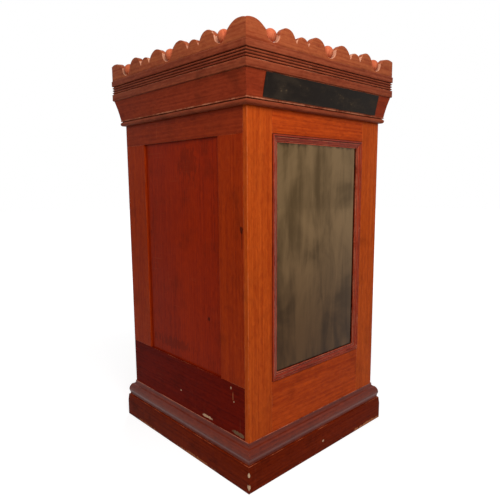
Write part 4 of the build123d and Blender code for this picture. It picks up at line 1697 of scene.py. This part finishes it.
@dataclass
class Back:
    """Posts, rails and dividers of the shopkeeper's side, and the top board."""

    palette: Palette
    divider_thickness: float = 14.0 * MM

    def build(self) -> None:
        """Make the boards of the back and dress the inside."""
        flank, drawer = self.palette["flank"], self.palette["drawer"]
        dress(self.posts(), "back_posts_boards", flank, CASE, ["back_posts"])
        dress(self.rails(), "back_rails_boards", flank, CASE, ["back_rails"])
        dress(self.dividers(), "drawer_dividers_boards", drawer, CASE, ["drawer_dividers"])
        top = board(*corners("case_top"), Axis.Y, 171, 0.4 * MM, 20)
        dress(top, "case_top_board", self.palette["pine"], CASE, ["case_top"])
        keep(self.palette["pine_y"], "case_floor", "drawer_runners")
        keep(self.palette["pine_z"], "plinth_blocks")

    @property
    def pitch(self) -> float:
        """Distance from one divider to the next, which is also that of the drawers."""
        low, high = corners("drawer_dividers")
        return (high[2] - low[2] - self.divider_thickness) / (DRAWERS - 2)

    @staticmethod
    def strips(
        node: str, axis: int, spans: Iterable[Pair], grain: Axis, seed: int, arris: float, cuts: int
    ) -> Surface:
        """Boards that share a node's box and each take their own span of it.

        Args:
            node: The node whose box they share.
            axis: Number of the axis that the spans lie on.
            spans: Start and end of each board, in metres.
            grain: Direction of the grain.
            seed: Seed of the first board.
            arris: Radius of the arrises.
            cuts: Divisions of the longest side.

        Returns:
            All of the boards as one surface.
        """
        boards = []
        for index, span in enumerate(spans):
            low, high = corners(node)
            low[axis], high[axis] = span
            boards.append(board(low, high, grain, seed + index, arris, cuts))
        return Surface.joined(boards)

    def posts(self) -> Surface:
        """The two posts, outside the rails."""
        (left, _, _), (right, _, _) = corners("back_posts")
        (rail_left, _, _), (rail_right, _, _) = corners("back_rails")
        return self.strips("back_posts", 0, ((left, rail_left), (rail_right, right)), Axis.Z, 151, 0.5 * MM, 28)

    def rails(self) -> Surface:
        """The rail below the lowest drawer and the one above the highest."""
        (_, _, foot), (_, _, head) = corners("back_rails")
        (_, _, lowest), (_, _, highest) = corners("drawer_dividers")
        opening = self.pitch - self.divider_thickness
        spans = ((foot, lowest - opening), (highest + opening, head))
        return self.strips("back_rails", 2, spans, Axis.X, 155, 0.5 * MM, 24)

    def dividers(self) -> Surface:
        """The boards between the drawers."""
        lowest = corners("drawer_dividers")[0][2]
        feet = [lowest + index * self.pitch for index in range(DRAWERS - 1)]
        spans = [(foot, foot + self.divider_thickness) for foot in feet]
        return self.strips("drawer_dividers", 2, spans, Axis.X, 161, 0.6 * MM, 20)


@dataclass
class Drawer:
    """One drawer with its front, its partitioned box and its knob."""

    palette: Palette
    number: int
    bottom: float = 5.0 * MM
    wall: float = 10.0 * MM
    glue_line: float = 0.1 * MM
    partition: float = 5.0 * MM
    partition_height: float = 45.0 * MM
    partitions: int = 2
    knob_base_radius: float = 9.0
    knob_head_radius: float = 12.0
    knob_head_round: float = 4.5
    knob_head_height: float = 13.0
    knob_projection: float = 20.0
    knob_tenon_radius: float = 4.5
    knob_tenon_length: float = 14.0

    def build(self) -> None:
        """Make the three pieces."""
        body = f"drawer_{self.number}"
        seed = 200 + 20 * self.number
        front, box, knob = f"{body}_front", f"{body}_box", f"{body}_knob"
        face = board(*corners(front), Axis.X, seed, 1.4 * MM, 26)
        dress(face, f"{front}_board", self.palette["drawer"], body, [front])
        dress(self.box(box, seed + 1), f"{box}_boards", self.palette["pine"], body, [box])
        dress(self.knob(knob, seed + 12), f"{knob}_turned", self.palette["ball"], body, [knob])

    def box(self, node: str, seed: int) -> Surface:
        """Bottom, two sides, an end and the partitions."""
        low, high = corners(node)
        walls_low = low[2] + self.bottom + self.glue_line
        inside = self.wall + self.glue_line
        clear = high[0] - low[0] - 2 * self.wall - self.partitions * self.partition
        lane = clear / (self.partitions + 1)
        boxes = [
            (low, (high[0], high[1], low[2] + self.bottom), Axis.Y),
            ((low[0], low[1], walls_low), (low[0] + self.wall, high[1], high[2]), Axis.Y),
            ((high[0] - self.wall, low[1], walls_low), high, Axis.Y),
            ((low[0] + inside, low[1], walls_low), (high[0] - inside, low[1] + self.wall, high[2]), Axis.X),
        ]
        for place in range(self.partitions):
            left = low[0] + self.wall + (place + 1) * lane + place * self.partition
            rim = walls_low + self.partition_height
            boxes.append(((left, low[1] + inside, walls_low), (left + self.partition, high[1], rim), Axis.Y))
        return Surface.joined([
            board(np.array(a, float), np.array(b, float), axis, seed + index, 0.7 * MM, 14)
            for index, (a, b, axis) in enumerate(boxes)
        ])

    def knob(self, node: str, seed: int) -> Surface:
        """Tenon, base disc, cove, round head and dome, turned in one piece, in millimetres."""
        low, high = corners(node)
        centre = np.array([0, high[1] - self.knob_projection * MM, (low[2] + high[2]) / 2])
        tenon, base = self.knob_tenon_radius, self.knob_base_radius
        foot = [(0.0, -self.knob_tenon_length), (tenon, -self.knob_tenon_length), (tenon, 0.0), (base, 0.0)]
        foot += [(base, 1.2), (base - 0.4, 1.8), (base - 1.0, 2.2)]
        radius, height = self.knob_head_radius, self.knob_head_height
        head_start = (radius - self.knob_head_round, height - self.knob_head_round)
        neck = [(6.6, 3.8), (5.8, 5.2), (5.6, 6.2), (6.2, 7.6), head_start]
        head = tangent_arc((radius, height), head_start, (0, -1), 9)[::-1]
        quarter = np.radians(np.linspace(0, 90, 12))[1:]
        rise = self.knob_projection - height
        dome = [(radius * math.cos(a), height + rise * math.sin(a)) for a in quarter]
        profile = np.array(foot + neck + head[1:] + dome)
        profile[-1, 0] = 0.0
        return turned(profile * MM, centre, np.array([0, 1.0, 0]), seed, 32)


@dataclass(frozen=True)
class SoftLamp:
    """A square area lamp."""

    name: str
    place: tuple[float, float, float]
    target: tuple[float, float, float]
    power: float
    size: float = 0.9

    def build(self) -> None:
        """Hang it and point it at its target."""
        lamp = bpy.data.lights.new(self.name, "AREA")
        lamp.energy = self.power
        lamp.size = self.size
        holder = bpy.data.objects.new(self.name, lamp)
        away = Vector(self.place) - Vector(self.target)
        holder.rotation_euler = away.to_track_quat("Z", "Y").to_euler()
        holder.location = self.place
        bpy.context.scene.collection.objects.link(holder)


@dataclass(frozen=True)
class Viewpoint:
    """The photograph's camera: left of the front, a little above the middle."""

    place: tuple[float, float, float] = (-0.8625, -0.9235, 0.6368)
    right: tuple[float, float, float] = (0.72957, -0.68388, -0.00587)
    up: tuple[float, float, float] = (0.10131, 0.09958, 0.98986)
    forward: tuple[float, float, float] = (0.67636, 0.72277, -0.14194)
    lens: float = 34.56
    sensor: float = 36.0
    shift: Pair = (-0.004, 0.0072)

    def build(self) -> None:
        """Make the camera and look through it."""
        lens = bpy.data.cameras.new("camera")
        lens.lens = self.lens
        lens.sensor_width = self.sensor
        lens.shift_x, lens.shift_y = self.shift
        holder = bpy.data.objects.new("camera", lens)
        turn = Matrix((self.right, self.up, -Vector(self.forward))).transposed()
        holder.matrix_world = Matrix.Translation(self.place) @ turn.to_4x4()
        bpy.context.scene.collection.objects.link(holder)
        bpy.context.scene.camera = holder


@dataclass
class Studio:
    """Floor, light, background and camera."""

    ambient: float = 0.28
    floor_shade: float = 0.5
    floor_near: float = 0.7
    fade: Pair = (0.7, 2.6)
    camera: Viewpoint = Viewpoint()
    lamps: tuple[SoftLamp, ...] = (
        SoftLamp("key_light", (-0.6, -1.15, 1.5), (0.0, -0.2, 0.5), 17.5),
        SoftLamp("fill_light", (-1.55, -0.75, 1.6), (-0.2, 0.0, 0.5), 6.5),
        SoftLamp("back_light", (1.3, 1.5, 1.5), (0.0, 0.0, 0.5), 14.0),
    )

    def build(self) -> None:
        """Set up all of it."""
        self.floor()
        self.world()
        for lamp in self.lamps:
            lamp.build()
        self.camera.build()
        bpy.context.scene.view_settings.view_transform = "Standard"

    def floor(self) -> None:
        """A wide pale disc that fades into the background and keeps the shadow."""
        below, spokes = -0.2 * MM, 64
        radius = np.array([0.6, 1.5, 4.0, 12.0])
        angle = np.linspace(0, 2 * math.pi, spokes, endpoint=False)
        ring = np.stack([np.cos(angle), np.sin(angle), angle * 0], axis=1)
        points = np.concatenate([[[0, 0, 0]], (radius[:, None, None] * ring[None]).reshape(-1, 3)])
        points[:, 2] = below
        quads = [tuple(index + 1 for index in quad) for quad in grid_faces(len(radius), spokes, closed=True)]
        fan = [(0, 1 + index, 1 + (index + 1) % spokes) for index in range(spokes)]
        mesh = bpy.data.meshes.new("floor")
        mesh.from_pydata(points.tolist(), [], quads + fan)
        mesh.update()
        piece = bpy.data.objects.new("floor", mesh)
        bpy.context.scene.collection.objects.link(piece)
        mesh.materials.append(self.floor_paint())

    def floor_paint(self) -> bpy.types.Material:
        """Matt pale paint that glows more where it is seen from further away from the case."""
        material = bpy.data.materials.new("pale_floor")
        material.use_nodes = True
        graph = Graph(material.node_tree)
        shader = material.node_tree.nodes["Principled BSDF"]
        shader.inputs["Base Color"].default_value = (self.floor_shade, self.floor_shade, self.floor_shade, 1)
        shader.inputs["Roughness"].default_value = 0.9
        shader.inputs["Specular IOR Level"].default_value = 0.0
        shader.inputs["Emission Color"].default_value = (1, 1, 1, 1)
        seen = self.seen_rays(graph)
        place = graph.add("ShaderNodeTexCoord").outputs["Object"]
        glow = graph.ramp(graph.vector("LENGTH", place), *self.fade, self.floor_near, 1.0)
        graph.plug(shader.inputs["Emission Strength"], graph.math("MULTIPLY", seen, glow))
        return material

    @staticmethod
    def seen_rays(graph: Graph) -> bpy.types.NodeSocket:
        """1 for camera, glossy and transmission rays, 0 for the rays that light things."""
        path = graph.add("ShaderNodeLightPath")
        seen = graph.math("MAXIMUM", path.outputs["Is Camera Ray"], path.outputs["Is Glossy Ray"])
        return graph.math("MAXIMUM", seen, path.outputs["Is Transmission Ray"])

    def world(self) -> None:
        """White where it is seen, and a dim even light for everything else."""
        world = bpy.data.worlds.new("studio")
        bpy.context.scene.world = world
        world.use_nodes = True
        graph = Graph(world.node_tree)
        background = world.node_tree.nodes["Background"]
        background.inputs["Color"].default_value = (1, 1, 1, 1)
        strength = graph.math("MULTIPLY_ADD", self.seen_rays(graph), 1.0 - self.ambient, self.ambient)
        graph.plug(background.inputs["Strength"], strength)


def main() -> None:
    """Build the whole scene and report each piece."""
    logging.basicConfig(level=logging.INFO, format="%(message)s")
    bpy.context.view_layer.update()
    case = Case.from_frame()
    palette = Palette()
    for part in (
        Mouldings(case, palette), SignBoard(case, palette), Cresting(case, palette), FrontFrame(palette),
        MirrorFrame(case, palette), Flank(palette, "left", 121), Flank(palette, "right", 131), Back(palette),
        *[Drawer(palette, number) for number in range(1, DRAWERS + 1)], Studio(),
    ):
        part.build()
        log.info("built %s", type(part).__name__)


if __name__ == "__main__":
    main()
